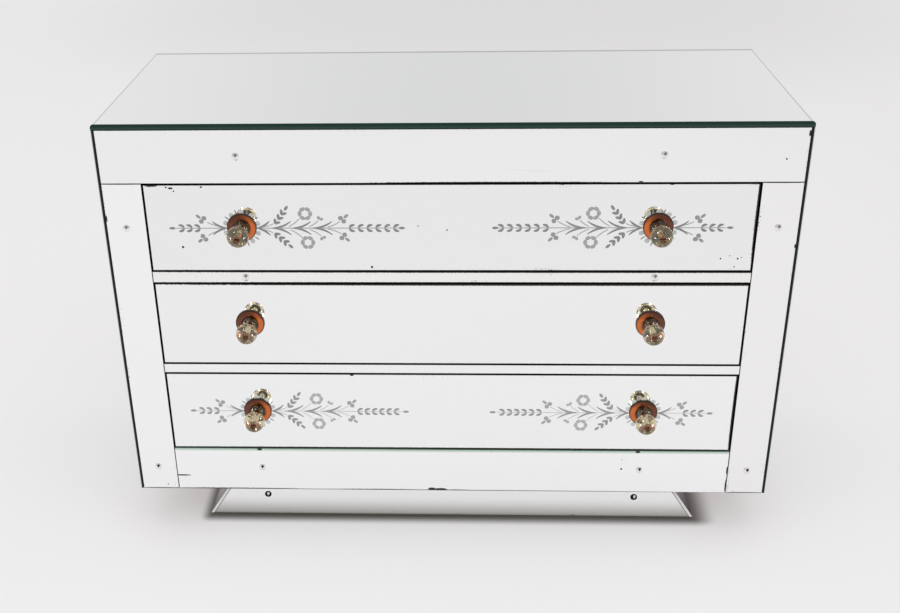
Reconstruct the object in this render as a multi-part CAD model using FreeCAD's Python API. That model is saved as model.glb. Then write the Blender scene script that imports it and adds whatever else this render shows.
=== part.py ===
"""Mirror-clad chest of three drawers on a low plinth with flared ends.

Millimetres. +Z is up and the front faces -Y. The origin lies on the floor, under the middle of the
whole piece, knobs included.
"""
import FreeCAD, Part
import math
import os

Vector = FreeCAD.Vector

# Outside of the chest
WIDTH = 1000.0
DEPTH = 388.0
APRON_HEIGHT = 77.5
OPENING_HEIGHT = 138.5
LOWER_RAIL_HEIGHT = 14.5
UPPER_RAIL_HEIGHT = 17.0
FRIEZE_HEIGHT = 79.5
STILE_WIDTH = 62.0

# Sheets of mirror
TOP_GLASS = 8.0
TOP_ROUND_SHARE = 0.7
TOP_ARRIS = 0.8
GLASS = 4.0
GLASS_JOINT = 1.0

# Carcase boards and face frame
SIDE_BOARD = 18.0
TOP_BOARD = 18.0
BOTTOM_BOARD = 18.0
BACK_PANEL = 6.0
BACK_REBATE = 9.0
HOUSING_DEPTH = 6.0
FRAME_THICKNESS = 22.0
RAIL_DEPTH = 56.0
TENON_LENGTH = 12.0
TENON_SHOULDER = 2.5
TENON_SHARE = 0.4

# Runners, kickers and stops
RUNNER_BEARING = 18.0
GUIDE_HEIGHT = 18.0
KICKER_HEIGHT = 24.0
STOP_HEIGHT = 12.0
REAR_SPACE = 25.0

# Drawers
DRAWER_NAMES = ("lower", "middle", "upper")
DRAWER_GAP = 3.0
DRAWER_FRONT = 18.0
DRAWER_SIDE = 12.0
DRAWER_BACK = 12.0
DRAWER_BOTTOM = 6.0
GROOVE_HEIGHT = 10.0
GROOVE_DEPTH = 5.0
BACK_DROP = 8.0
FRONT_LAP = 6.0
FRONT_TAILS = 4
BACK_TAILS = 3
TAIL_SHARE = 0.5
TAIL_SLOPE_SHARE = 0.14

# Knobs: an amber plate, a clear knob and a bolt with washer and nut
KNOB_INSET = 202.0
KNOB_RAISE = 2.0
PLATE_RADIUS = 21.7
PLATE_THICKNESS = 5.5
PLATE_EDGE = 2.2
PLATE_LAND = 0.8
KNOB_LENGTH = 43.5
KNOB_RADIUS = 15.7
KNOB_FACE_RADIUS = 7.5
KNOB_FOOT_RADIUS = 11.5
KNOB_FOOT_LENGTH = 3.0
KNOB_NECK_RADIUS = 8.0
KNOB_RECESS_RADIUS = 5.0
KNOB_RECESS_DEPTH = 7.0
BOLT_RADIUS = 2.4
BOLT_HEAD_RADIUS = 4.4
BOLT_HEAD_HEIGHT = 3.0
BOLT_SLOT_WIDTH = 1.2
BOLT_SLOT_DEPTH = 1.4
BOLT_TAIL = 2.0
WASHER_RADIUS = 7.0
WASHER_THICKNESS = 1.0
NUT_RADIUS = 4.6
NUT_THICKNESS = 4.0
NUT_SIDES = 6

# Mirror screws with domed heads, and countersunk screws of the back panel
SCREW_INSET = 201.0
APRON_SCREW_SHARE = 0.54
PLINTH_SCREW_SHARE = 0.56
SCREW_HEAD_RADIUS = 5.5
SCREW_RIM = 0.8
SCREW_DOME = 2.2
SCREW_RADIUS = 2.0
SCREW_BITE = 14.0
SIDE_SCREW_SHARES = (0.12, 0.88)
BACK_SCREW_RADIUS = 1.75
BACK_SCREW_HEAD_RADIUS = 3.6
BACK_SCREW_HEAD_HEIGHT = 2.2
BACK_SCREW_BITE = 15.0
BACK_SCREW_WIDTH_SHARES = (-0.78, -0.26, 0.26, 0.78)
BACK_SCREW_HEIGHT_SHARES = (0.25, 0.5, 0.75)

# Plinth
PLINTH_HEIGHT = 76.0
PLINTH_INSET = 147.0
PLINTH_FLARE = 49.0
PLINTH_SETBACK = 28.0
PLINTH_BOARD = 18.0
PLINTH_GLASS_LIFT = 8.0
GLUE_BLOCK = 40.0

# Clearances and the overrun of every cut
JOINT_ROOM = 0.1
BOLT_ROOM = 0.3
RUNNING_GAP = 0.3
GUIDE_GAP = 0.7
KICKER_GAP = 1.0
STOP_GAP = 0.3
OVERRUN = 1.0

# Planes that follow from the sizes
KNOB_REACH = PLATE_THICKNESS + KNOB_LENGTH
FRONT = (KNOB_REACH - DEPTH) / 2
BACK = FRONT + DEPTH
FRAME_FRONT = FRONT + GLASS
FRAME_BACK = FRAME_FRONT + FRAME_THICKNESS
PANEL_FRONT = BACK - BACK_PANEL
HALF_WIDTH = WIDTH / 2
SIDE_OUTER = HALF_WIDTH - GLASS
SIDE_INNER = SIDE_OUTER - SIDE_BOARD
OPENING_HALF = HALF_WIDTH - STILE_WIDTH
BODY_BOTTOM = PLINTH_HEIGHT
RAIL_HEIGHTS = (LOWER_RAIL_HEIGHT, UPPER_RAIL_HEIGHT)
TOP_LEVEL = len(DRAWER_NAMES) - 1
FRIEZE_BOTTOM = BODY_BOTTOM + APRON_HEIGHT + OPENING_HEIGHT * len(DRAWER_NAMES) + sum(RAIL_HEIGHTS)
BODY_TOP = FRIEZE_BOTTOM + FRIEZE_HEIGHT
DRAWER_HALF = OPENING_HALF - DRAWER_GAP
DRAWER_INNER = DRAWER_HALF - DRAWER_SIDE
DRAWER_FRONT_BACK = FRAME_FRONT + DRAWER_FRONT
DRAWER_REAR = PANEL_FRONT - REAR_SPACE
RUNNER_INNER = DRAWER_HALF - RUNNER_BEARING
GUIDE_FACE = DRAWER_HALF + GUIDE_GAP
STILE_MIDDLE = (OPENING_HALF + SIDE_OUTER) / 2
APRON_SCREW_HEIGHT = BODY_BOTTOM + APRON_HEIGHT * APRON_SCREW_SHARE
PLINTH_SCREW_HEIGHT = PLINTH_GLASS_LIFT + (PLINTH_HEIGHT - PLINTH_GLASS_LIFT) * PLINTH_SCREW_SHARE
KNOB_HALF = HALF_WIDTH - KNOB_INSET
SCREW_HALF = HALF_WIDTH - SCREW_INSET
TENON_MARGIN = FRAME_THICKNESS * (1 - TENON_SHARE) / 2
TENON_YS = (FRAME_FRONT + TENON_MARGIN, FRAME_BACK - TENON_MARGIN)
PLINTH_FRONT = FRONT + PLINTH_SETBACK
PLINTH_BACK = BACK - PLINTH_SETBACK
PLINTH_TOP_WIDTH = WIDTH - 2 * PLINTH_INSET
FLARE_STRETCH = math.hypot(PLINTH_HEIGHT, PLINTH_FLARE) / PLINTH_HEIGHT
FORWARD = Vector(0, -1, 0)
REARWARD = Vector(0, 1, 0)


def opening_bottom(level):
    """Height of the lower edge of the drawer opening at a level, counted from the lowest."""
    return BODY_BOTTOM + APRON_HEIGHT + OPENING_HEIGHT * level + sum(RAIL_HEIGHTS[:level])


def opening_middle(level):
    """Height of the middle of the drawer opening at a level."""
    return opening_bottom(level) + OPENING_HEIGHT / 2


def drawer_zs(level):
    """Lower and upper edge of the drawer front at a level."""
    low = opening_bottom(level)
    return low + DRAWER_GAP, low + OPENING_HEIGHT - DRAWER_GAP


def box(xs, ys, zs):
    """Square-edged board between two planes across each axis."""
    corner = Vector(xs[0], ys[0], zs[0])
    return Part.makeBox(xs[1] - xs[0], ys[1] - ys[0], zs[1] - zs[0], corner)


def both(half):
    """Pair of planes at equal distances from the middle of the chest."""
    return -half, half


def on_side(side, near, far):
    """Pair of planes on the left (-1) or right (1) side, near and far from the middle."""
    return tuple(sorted((side * near, side * far)))


def grown(pair, room):
    """Pair of planes moved apart by some room at each end."""
    return pair[0] - room, pair[1] + room


def prism(points, along):
    """Solid made by carrying a closed outline along a vector."""
    return Part.Face(Part.makePolygon(points + points[:1])).extrude(along)


def carve(shape, tools):
    """The one solid that is left of a shape when the tools are taken away."""
    return shape.cut(tools).Solids[0]


def join(shape, others):
    """Shapes glued or turned in one piece, without the seams between them."""
    return shape.fuse(others).removeSplitter().Solids[0]


def stand(shape, point, outward):
    """Copy of a shape made along +Z, stood on a point with its +Z turned outward."""
    placed = shape.copy()
    placed.Placement = FreeCAD.Placement(point, FreeCAD.Rotation(Vector(0, 0, 1), outward))
    return placed


def turned(edges):
    """Solid turned about the Z axis from the edges of its half section."""
    return Part.Face(Part.Wire(edges)).revolve(Vector(0, 0, 0), Vector(0, 0, 1))


def lines(points):
    """Straight edges through (radius, height) points of a half section."""
    corners = [Vector(radius, 0, height) for radius, height in points]
    return [Part.makeLine(a, b) for a, b in zip(corners, corners[1:])]


def arc(start, middle, end):
    """Round edge through three (radius, height) points of a half section."""
    return Part.Arc(*[Vector(radius, 0, height) for radius, height in (start, middle, end)]).toShape()


def dome(crest, rim):
    """Round edge from a rim up to a crest, level at the crest, both (radius, height) points."""
    run = rim[0] - crest[0]
    drop = crest[1] - rim[1]
    ball = (run ** 2 + drop ** 2) / (2 * drop)
    turn = math.asin(run / ball) / 2
    return arc(rim, (crest[0] + ball * math.sin(turn), crest[1] - ball * (1 - math.cos(turn))), crest)


# Screws

SCREW_HEIGHTS = (APRON_SCREW_HEIGHT, opening_middle(TOP_LEVEL))


def front_points(half, z, face=FRONT):
    """Left and right screw points at one height of a mirror that faces forward."""
    return [Vector(x, face, z) for x in both(half)]


def side_points(side):
    """Screw points of a side mirror."""
    ys = [FRONT + DEPTH * share for share in SIDE_SCREW_SHARES]
    return [Vector(side * HALF_WIDTH, y, z) for y in ys for z in SCREW_HEIGHTS]


def stile_points(side):
    """Screw points of a stile mirror."""
    return [Vector(side * STILE_MIDDLE, FRONT, z) for z in SCREW_HEIGHTS]


FRIEZE_POINTS = front_points(SCREW_HALF, FRIEZE_BOTTOM + FRIEZE_HEIGHT / 2)
UPPER_RAIL_POINTS = front_points(SCREW_HALF, opening_bottom(TOP_LEVEL) - UPPER_RAIL_HEIGHT / 2)
APRON_POINTS = front_points(SCREW_HALF, APRON_SCREW_HEIGHT)
PLINTH_POINTS = front_points(SCREW_HALF, PLINTH_SCREW_HEIGHT, PLINTH_FRONT)


def drill(points, outward, radius, start, depth):
    """Round holes that begin at a depth under the points and go in to another depth."""
    inward = outward * -1
    return [Part.makeCylinder(radius, depth - start, point + inward * start, inward) for point in points]


def glass_holes(points, outward):
    """Clear holes for mirror screws through a sheet of glass."""
    return drill(points, outward, SCREW_RADIUS + BOLT_ROOM, -OVERRUN, GLASS + OVERRUN)


def pilot_holes(points, outward):
    """Holes for mirror screws in the wood behind the glass."""
    return drill(points, outward, SCREW_RADIUS + JOINT_ROOM, GLASS - OVERRUN, GLASS + SCREW_BITE + JOINT_ROOM)


def mirror_screw():
    """Screw with a domed head, a cap of a sphere on a low rim, that stands on the glass at height zero."""
    crest = (0, SCREW_RIM + SCREW_DOME)
    rim = (SCREW_HEAD_RADIUS, SCREW_RIM)
    tip = -GLASS - SCREW_BITE
    outline = [crest, (0, tip), (SCREW_RADIUS, tip), (SCREW_RADIUS, 0), (SCREW_HEAD_RADIUS, 0), rim]
    return turned(lines(outline) + [dome(crest, rim)])


def mirror_screws():
    """All screws that hold the mirrors, stood on their glass."""
    forward = FRIEZE_POINTS + UPPER_RAIL_POINTS + APRON_POINTS + PLINTH_POINTS
    places = [(point, FORWARD) for point in forward + stile_points(-1) + stile_points(1)]
    for side in (-1, 1):
        places += [(point, Vector(side, 0, 0)) for point in side_points(side)]
    screw = mirror_screw()
    return Part.makeCompound([stand(screw, point, outward) for point, outward in places])


def back_points(side):
    """Points of the back panel's screws along the edge of one side board."""
    x = side * (SIDE_INNER + BACK_REBATE / 2)
    height = BODY_TOP - BODY_BOTTOM
    return [Vector(x, BACK, BODY_BOTTOM + height * share) for share in BACK_SCREW_HEIGHT_SHARES]


def level_back_points(z):
    """Points of the back panel's screws along the edge of the top or bottom board."""
    return [Vector(SIDE_INNER * share, BACK, z) for share in BACK_SCREW_WIDTH_SHARES]


TOP_BACK_POINTS = level_back_points(BODY_TOP - TOP_BOARD / 2)
BOTTOM_BACK_POINTS = level_back_points(BODY_BOTTOM + BOTTOM_BOARD / 2)
BACK_POINTS = back_points(-1) + back_points(1) + TOP_BACK_POINTS + BOTTOM_BACK_POINTS


def back_screw(room):
    """Countersunk screw with its head flush at height zero, or its hole when there is room round it."""
    shank = BACK_SCREW_RADIUS + room
    head = BACK_SCREW_HEAD_RADIUS + room
    tip = -BACK_PANEL - BACK_SCREW_BITE - room
    outline = [(0, 0), (0, tip), (shank, tip), (shank, -BACK_SCREW_HEAD_HEIGHT), (head, 0), (0, 0)]
    return turned(lines(outline))


def back_screw_holes(points):
    """Countersunk holes for the back panel's screws."""
    return [stand(back_screw(JOINT_ROOM), point, REARWARD) for point in points]


def back_panel_screws():
    """All screws of the back panel."""
    return Part.makeCompound([stand(back_screw(0), point, REARWARD) for point in BACK_POINTS])


# Carcase

def side_board(side):
    """Side of the carcase: housed for the top and bottom boards, rebated for the back panel."""
    board = box(on_side(side, SIDE_INNER, SIDE_OUTER), (FRAME_BACK, BACK), (BODY_BOTTOM, BODY_TOP))
    housing = on_side(side, SIDE_INNER - OVERRUN, SIDE_INNER + HOUSING_DEPTH + JOINT_ROOM)
    rebate = on_side(side, SIDE_INNER - OVERRUN, SIDE_INNER + BACK_REBATE + JOINT_ROOM)
    through = (FRAME_BACK - OVERRUN, PANEL_FRONT + OVERRUN)
    cuts = [
        box(housing, through, (BODY_TOP - TOP_BOARD, BODY_TOP + OVERRUN)),
        box(housing, through, (BODY_BOTTOM - OVERRUN, BODY_BOTTOM + BOTTOM_BOARD)),
        box(rebate, (PANEL_FRONT, BACK + OVERRUN), grown((BODY_BOTTOM, BODY_TOP), OVERRUN)),
    ]
    cuts += pilot_holes(side_points(side), Vector(side, 0, 0)) + back_screw_holes(back_points(side))
    return carve(board, cuts)


def level_board(zs, points):
    """Top or bottom board, housed in the sides."""
    board = box(both(SIDE_INNER + HOUSING_DEPTH), (FRAME_BACK, PANEL_FRONT), zs)
    return carve(board, back_screw_holes(points))


def back_panel():
    """Thin panel in the rebates of the sides, screwed all round."""
    panel = box(both(SIDE_INNER + BACK_REBATE), (PANEL_FRONT, BACK), (BODY_BOTTOM, BODY_TOP))
    return carve(panel, back_screw_holes(BACK_POINTS))


RAIL_ZS = {
    "frieze": (FRIEZE_BOTTOM, BODY_TOP),
    "upper": (opening_bottom(TOP_LEVEL) - UPPER_RAIL_HEIGHT, opening_bottom(TOP_LEVEL)),
    "lower": (opening_bottom(TOP_LEVEL - 1) - LOWER_RAIL_HEIGHT, opening_bottom(TOP_LEVEL - 1)),
    "apron": (BODY_BOTTOM, BODY_BOTTOM + APRON_HEIGHT),
}


def tenon_zs(zs):
    """Lower and upper cheek of a rail's tenon."""
    return zs[0] + TENON_SHOULDER, zs[1] - TENON_SHOULDER


def rail(name, depth, points):
    """Rail of the face frame with a stub tenon at each end."""
    zs = RAIL_ZS[name]
    bar = box(both(OPENING_HALF), (FRAME_FRONT, FRAME_FRONT + depth), zs)
    bar = join(bar, [box(both(OPENING_HALF + TENON_LENGTH), TENON_YS, tenon_zs(zs))])
    return carve(bar, pilot_holes(points, FORWARD)) if points else bar


def stile(side):
    """Upright of the face frame with a mortise for every rail."""
    post = box(on_side(side, OPENING_HALF, SIDE_OUTER), (FRAME_FRONT, FRAME_BACK), (BODY_BOTTOM, BODY_TOP))
    mouth = on_side(side, OPENING_HALF - OVERRUN, OPENING_HALF + TENON_LENGTH + JOINT_ROOM)
    ys = grown(TENON_YS, JOINT_ROOM)
    mortises = [box(mouth, ys, grown(tenon_zs(zs), JOINT_ROOM)) for zs in RAIL_ZS.values()]
    return carve(post, mortises + pilot_holes(stile_points(side), FORWARD))


def runner_top(level):
    """Height of the face that carries the drawer's sides."""
    return drawer_zs(level)[0] - RUNNING_GAP


def runner(side, level):
    """Rebated runner that carries a drawer's side and guides it, level below with a drawer rail."""
    top = runner_top(level)
    bottom = opening_bottom(level) - RAIL_HEIGHTS[max(level - 1, 0)]
    front = FRAME_FRONT + RAIL_DEPTH if level else FRAME_BACK
    section = [
        (RUNNER_INNER, bottom), (SIDE_INNER, bottom), (SIDE_INNER, top + GUIDE_HEIGHT),
        (GUIDE_FACE, top + GUIDE_HEIGHT), (GUIDE_FACE, top), (RUNNER_INNER, top),
    ]
    return prism([Vector(side * x, front, z) for x, z in section], Vector(0, PANEL_FRONT - front, 0))


def stop(side, level):
    """Block on the runner that a closed drawer comes to rest against."""
    top = runner_top(level)
    ys = (DRAWER_REAR + STOP_GAP, PANEL_FRONT)
    return box(on_side(side, RUNNER_INNER, GUIDE_FACE), ys, (top, top + STOP_HEIGHT))


def kicker(side):
    """Strip over the sides of the top drawer that keeps it from tipping."""
    low = drawer_zs(TOP_LEVEL)[1] + KICKER_GAP
    xs = on_side(side, RUNNER_INNER, SIDE_INNER)
    return box(xs, (FRAME_BACK, PANEL_FRONT), (low, low + KICKER_HEIGHT))


def at_every_drawer(make):
    """Left and right piece of a kind at every drawer, as one group."""
    return Part.makeCompound([make(side, level) for level in range(len(DRAWER_NAMES)) for side in (-1, 1)])


# Mirrors of the carcase

def front_mirror(xs, zs, points):
    """Sheet of mirror that faces forward, with its screw holes."""
    sheet = box(xs, (FRONT, FRAME_FRONT), zs)
    return carve(sheet, glass_holes(points, FORWARD)) if points else sheet


def stile_mirror(side):
    """Mirror in front of a stile, below the frieze mirror."""
    xs = on_side(side, OPENING_HALF, SIDE_OUTER - GLASS_JOINT)
    return front_mirror(xs, (BODY_BOTTOM, FRIEZE_BOTTOM - GLASS_JOINT), stile_points(side))


def side_mirror(side):
    """Mirror that covers a side and the edge of the front mirrors."""
    sheet = box(on_side(side, SIDE_OUTER, HALF_WIDTH), (FRONT, BACK), (BODY_BOTTOM, BODY_TOP - GLASS_JOINT))
    return carve(sheet, glass_holes(side_points(side), Vector(side, 0, 0)))


def top_mirror():
    """Thick top sheet, rounded over along its sides and with a ground arris along the front and back."""
    sheet = box(both(HALF_WIDTH), (FRONT, BACK), (BODY_TOP, BODY_TOP + TOP_GLASS))
    upper = max(sheet.Faces, key=lambda face: face.CenterOfMass.z)
    sides = [edge for edge in upper.Edges if edge.BoundBox.YLength > DEPTH / 2]
    sheet = sheet.makeFillet(TOP_GLASS * TOP_ROUND_SHARE, sides)
    upper = max(sheet.Faces, key=lambda face: face.CenterOfMass.z)
    return sheet.makeChamfer(TOP_ARRIS, [edge for edge in upper.Edges if edge.BoundBox.XLength > HALF_WIDTH])


# Plinth

def flared(z):
    """Half width of the plinth over its end mirrors at a height."""
    return PLINTH_TOP_WIDTH / 2 + PLINTH_FLARE * (PLINTH_HEIGHT - z) / PLINTH_HEIGHT


def plinth_lengthwise(inset, ys, zs):
    """Board or mirror along the plinth, cut to the flare an inset inside the ends."""
    inside = inset * FLARE_STRETCH
    low, high = zs
    section = [
        (inside - flared(low), low), (flared(low) - inside, low),
        (flared(high) - inside, high), (inside - flared(high), high),
    ]
    return prism([Vector(x, ys[0], z) for x, z in section], Vector(0, ys[1] - ys[0], 0))


def plinth_end(side, inset, thickness, ys, zs):
    """Slanted piece across an end of the plinth, between an inset and an inset plus its thickness."""
    outer = inset * FLARE_STRETCH
    inner = (inset + thickness) * FLARE_STRETCH
    low, high = zs
    section = [
        (flared(low) - outer, low), (flared(high) - outer, high),
        (flared(high) - inner, high), (flared(low) - inner, low),
    ]
    return prism([Vector(side * x, ys[0], z) for x, z in section], Vector(0, ys[1] - ys[0], 0))


PLINTH_BOARD_FRONT = PLINTH_FRONT + GLASS
PLINTH_BETWEEN = (PLINTH_BOARD_FRONT + PLINTH_BOARD, PLINTH_BACK - PLINTH_BOARD)
PLINTH_ZS = (0, PLINTH_HEIGHT)
PLINTH_GLASS_ZS = (PLINTH_GLASS_LIFT, PLINTH_HEIGHT)


def plinth_front_board():
    """Front of the plinth behind its mirror."""
    board = plinth_lengthwise(GLASS, (PLINTH_BOARD_FRONT, PLINTH_BETWEEN[0]), PLINTH_ZS)
    return carve(board, pilot_holes(PLINTH_POINTS, FORWARD))


def plinth_front_mirror():
    """Mirror on the front of the plinth, a little clear of the floor."""
    sheet = plinth_lengthwise(GLASS + GLASS_JOINT, (PLINTH_FRONT, PLINTH_BOARD_FRONT), PLINTH_GLASS_ZS)
    return carve(sheet, glass_holes(PLINTH_POINTS, FORWARD))


def glue_blocks():
    """Blocks in the inner corners of the plinth that hold it to the bottom board."""
    inset = GLASS + PLINTH_BOARD
    front = (PLINTH_BETWEEN[0], PLINTH_BETWEEN[0] + GLUE_BLOCK)
    back = (PLINTH_BETWEEN[1] - GLUE_BLOCK, PLINTH_BETWEEN[1])
    corners = [(side, ys) for side in (-1, 1) for ys in (front, back)]
    blocks = [plinth_end(side, inset, GLUE_BLOCK, ys, PLINTH_GLASS_ZS) for side, ys in corners]
    return Part.makeCompound(blocks)


# Drawers

def tails(zs, count, base, tip, room):
    """Dovetails spaced along an edge, each as (y, z) corners from low to high, with room round them."""
    pitch = (zs[1] - zs[0]) / count
    narrow = pitch * TAIL_SHARE / 2 + room
    wide = narrow + abs(tip - base) * TAIL_SLOPE_SHARE
    end = tip + math.copysign(room, tip - base)
    middles = [zs[0] + pitch * (2 * index + 1) / 2 for index in range(count)]
    return [[(base, z - narrow), (end, z - wide), (end, z + wide), (base, z + narrow)] for z in middles]


class Drawer:
    """One drawer: boards dovetailed together, a bottom in grooves, a mirror and two knobs."""

    def __init__(self, level):
        self.zs = drawer_zs(level)
        floor = self.zs[0] + GROOVE_HEIGHT
        self.groove = (floor, floor + DRAWER_BOTTOM + JOINT_ROOM)
        self.back_zs = (self.groove[1], self.zs[1] - BACK_DROP)
        self.knob_z = opening_middle(level) + KNOB_RAISE
        self.knobs = [Vector(x, FRONT, self.knob_z) for x in both(KNOB_HALF)]

    def front_tails(self, room):
        """Half-blind tails at the front of a side, which stop short of the front's face by the lap."""
        return tails(self.zs, FRONT_TAILS, DRAWER_FRONT_BACK, FRAME_FRONT + FRONT_LAP, room)

    def back_tails(self, room):
        """Through tails at the back of a side."""
        return tails(self.back_zs, BACK_TAILS, DRAWER_REAR - DRAWER_BACK, DRAWER_REAR, room)

    def side(self, side):
        """Side with tails at both ends and a groove for the bottom."""
        base = DRAWER_REAR - DRAWER_BACK
        outline = [(DRAWER_FRONT_BACK, self.zs[0]), (DRAWER_REAR, self.zs[0])]
        outline += [(DRAWER_REAR, self.back_zs[0]), (base, self.back_zs[0])]
        for tail in self.back_tails(0):
            outline += tail
        outline += [(base, self.back_zs[1]), (DRAWER_REAR, self.back_zs[1])]
        outline += [(DRAWER_REAR, self.zs[1]), (DRAWER_FRONT_BACK, self.zs[1])]
        for tail in reversed(self.front_tails(0)):
            outline += reversed(tail)
        inner = [Vector(side * DRAWER_INNER, y, z) for y, z in outline]
        board = prism(inner, Vector(side * DRAWER_SIDE, 0, 0))
        groove = on_side(side, DRAWER_INNER - OVERRUN, DRAWER_INNER + GROOVE_DEPTH)
        return carve(board, [box(groove, grown((FRAME_FRONT, DRAWER_REAR), OVERRUN), self.groove)])

    def sockets(self, outlines):
        """Sockets for the tails of both sides, open at the ends of a board."""
        solids = []
        for side in (-1, 1):
            along = Vector(side * (DRAWER_SIDE + OVERRUN), 0, 0)
            start = side * (DRAWER_INNER - JOINT_ROOM)
            solids += [prism([Vector(start, y, z) for y, z in outline], along) for outline in outlines]
        return solids

    def front(self):
        """Front board with sockets, a groove for the bottom and the holes of the knob bolts."""
        board = box(both(DRAWER_HALF), (FRAME_FRONT, DRAWER_FRONT_BACK), self.zs)
        groove_ys = (DRAWER_FRONT_BACK - GROOVE_DEPTH, DRAWER_FRONT_BACK + OVERRUN)
        board = carve(board, [box(both(DRAWER_INNER + GROOVE_DEPTH), groove_ys, self.groove)])
        return carve(board, self.sockets(self.front_tails(JOINT_ROOM)) + self.bolt_holes())

    def back(self):
        """Back board, which stands on the bottom and is lower than the sides."""
        zs = (self.back_zs[0], self.back_zs[1] - JOINT_ROOM)
        board = box(both(DRAWER_HALF), (DRAWER_REAR - DRAWER_BACK, DRAWER_REAR), zs)
        return carve(board, self.sockets(self.back_tails(JOINT_ROOM)))

    def bottom(self):
        """Bottom panel in the grooves of the front and sides, slid in under the back."""
        ys = (DRAWER_FRONT_BACK - GROOVE_DEPTH + JOINT_ROOM, DRAWER_REAR)
        zs = (self.groove[0], self.groove[0] + DRAWER_BOTTOM)
        return box(both(DRAWER_INNER + GROOVE_DEPTH - JOINT_ROOM), ys, zs)

    def bolt_holes(self):
        """Holes for the knob bolts through the mirror and the front board."""
        depth = GLASS + DRAWER_FRONT
        return drill(self.knobs, FORWARD, BOLT_RADIUS + BOLT_ROOM, -OVERRUN, depth + OVERRUN)

    def mirror(self):
        """Mirror on the front board, held by the knob bolts."""
        return carve(box(both(DRAWER_HALF), (FRONT, FRAME_FRONT), self.zs), self.bolt_holes())

    def at_knobs(self, solids):
        """Solids of one knob, made along +Z from the mirror's face, set at both knobs."""
        return Part.makeCompound([stand(solid, point, FORWARD) for point in self.knobs for solid in solids])

    def nodes(self):
        """Pieces of the drawer under their names."""
        return {
            "front": self.front(),
            "left_side": self.side(-1),
            "right_side": self.side(1),
            "back": self.back(),
            "bottom": self.bottom(),
            "mirror": self.mirror(),
            "knob_plates": self.at_knobs([knob_plate()]),
            "knob_glasses": self.at_knobs([knob_glass()]),
            "knob_bolts": self.at_knobs(knob_bolt()),
        }


def knob_plate():
    """Round amber glass plate, domed between its rim and the flat land under the knob's foot."""
    bore = BOLT_RADIUS + BOLT_ROOM
    crest = (KNOB_FOOT_RADIUS + PLATE_LAND, PLATE_THICKNESS)
    rim = (PLATE_RADIUS, PLATE_EDGE)
    outline = [crest, (bore, PLATE_THICKNESS), (bore, 0), (PLATE_RADIUS, 0), rim]
    return turned(lines(outline) + [dome(crest, rim)])


def knob_glass():
    """Clear glass knob: a foot, a waist and a ball with a flat, recessed face."""
    bore = BOLT_RADIUS + BOLT_ROOM
    foot = PLATE_THICKNESS + KNOB_FOOT_LENGTH
    cove = KNOB_FOOT_RADIUS - KNOB_NECK_RADIUS
    dip = cove * (1 - math.sqrt(2) / 2)
    centre = KNOB_REACH - math.sqrt(KNOB_RADIUS ** 2 - KNOB_FACE_RADIUS ** 2)
    ball_start = (KNOB_NECK_RADIUS, centre - math.sqrt(KNOB_RADIUS ** 2 - KNOB_NECK_RADIUS ** 2))
    neck_start = (KNOB_NECK_RADIUS, foot + cove)
    floor = KNOB_REACH - KNOB_RECESS_DEPTH
    face = (KNOB_FACE_RADIUS, KNOB_REACH)
    inside = [face, (KNOB_RECESS_RADIUS, KNOB_REACH), (KNOB_RECESS_RADIUS, floor), (bore, floor)]
    base = [(bore, PLATE_THICKNESS), (KNOB_FOOT_RADIUS, PLATE_THICKNESS), (KNOB_FOOT_RADIUS, foot)]
    edges = lines(inside + base)
    edges.append(arc(base[-1], (KNOB_NECK_RADIUS + dip, foot + dip), neck_start))
    edges += lines([neck_start, ball_start])
    edges.append(arc(ball_start, (KNOB_RADIUS, centre), face))
    return turned(edges)


def knob_bolt():
    """Slotted bolt in the knob's recess, and its washer and nut behind the drawer front."""
    floor = KNOB_REACH - KNOB_RECESS_DEPTH
    crown = floor + BOLT_HEAD_HEIGHT
    wood = -GLASS - DRAWER_FRONT
    nut_top = wood - WASHER_THICKNESS
    tip = nut_top - NUT_THICKNESS - BOLT_TAIL
    outline = [(0, tip), (BOLT_RADIUS, tip), (BOLT_RADIUS, floor), (BOLT_HEAD_RADIUS, floor)]
    outline += [(BOLT_HEAD_RADIUS, crown), (0, crown), (0, tip)]
    slot = box(both(BOLT_HEAD_RADIUS), both(BOLT_SLOT_WIDTH / 2), (crown - BOLT_SLOT_DEPTH, crown + OVERRUN))
    bolt = carve(turned(lines(outline)), [slot])
    bore = BOLT_RADIUS + JOINT_ROOM
    ring = [(bore, nut_top), (WASHER_RADIUS, nut_top), (WASHER_RADIUS, wood), (bore, wood), (bore, nut_top)]
    return [bolt, turned(lines(ring)), nut(nut_top, bore)]


def nut(top, bore):
    """Six-sided nut under a height."""
    turns = [2 * math.pi * index / NUT_SIDES for index in range(NUT_SIDES)]
    corners = [Vector(NUT_RADIUS * math.cos(turn), NUT_RADIUS * math.sin(turn), top) for turn in turns]
    block = prism(corners, Vector(0, 0, -NUT_THICKNESS))
    return carve(block, [Part.makeCylinder(bore, NUT_THICKNESS, Vector(0, 0, top - NUT_THICKNESS))])


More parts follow.
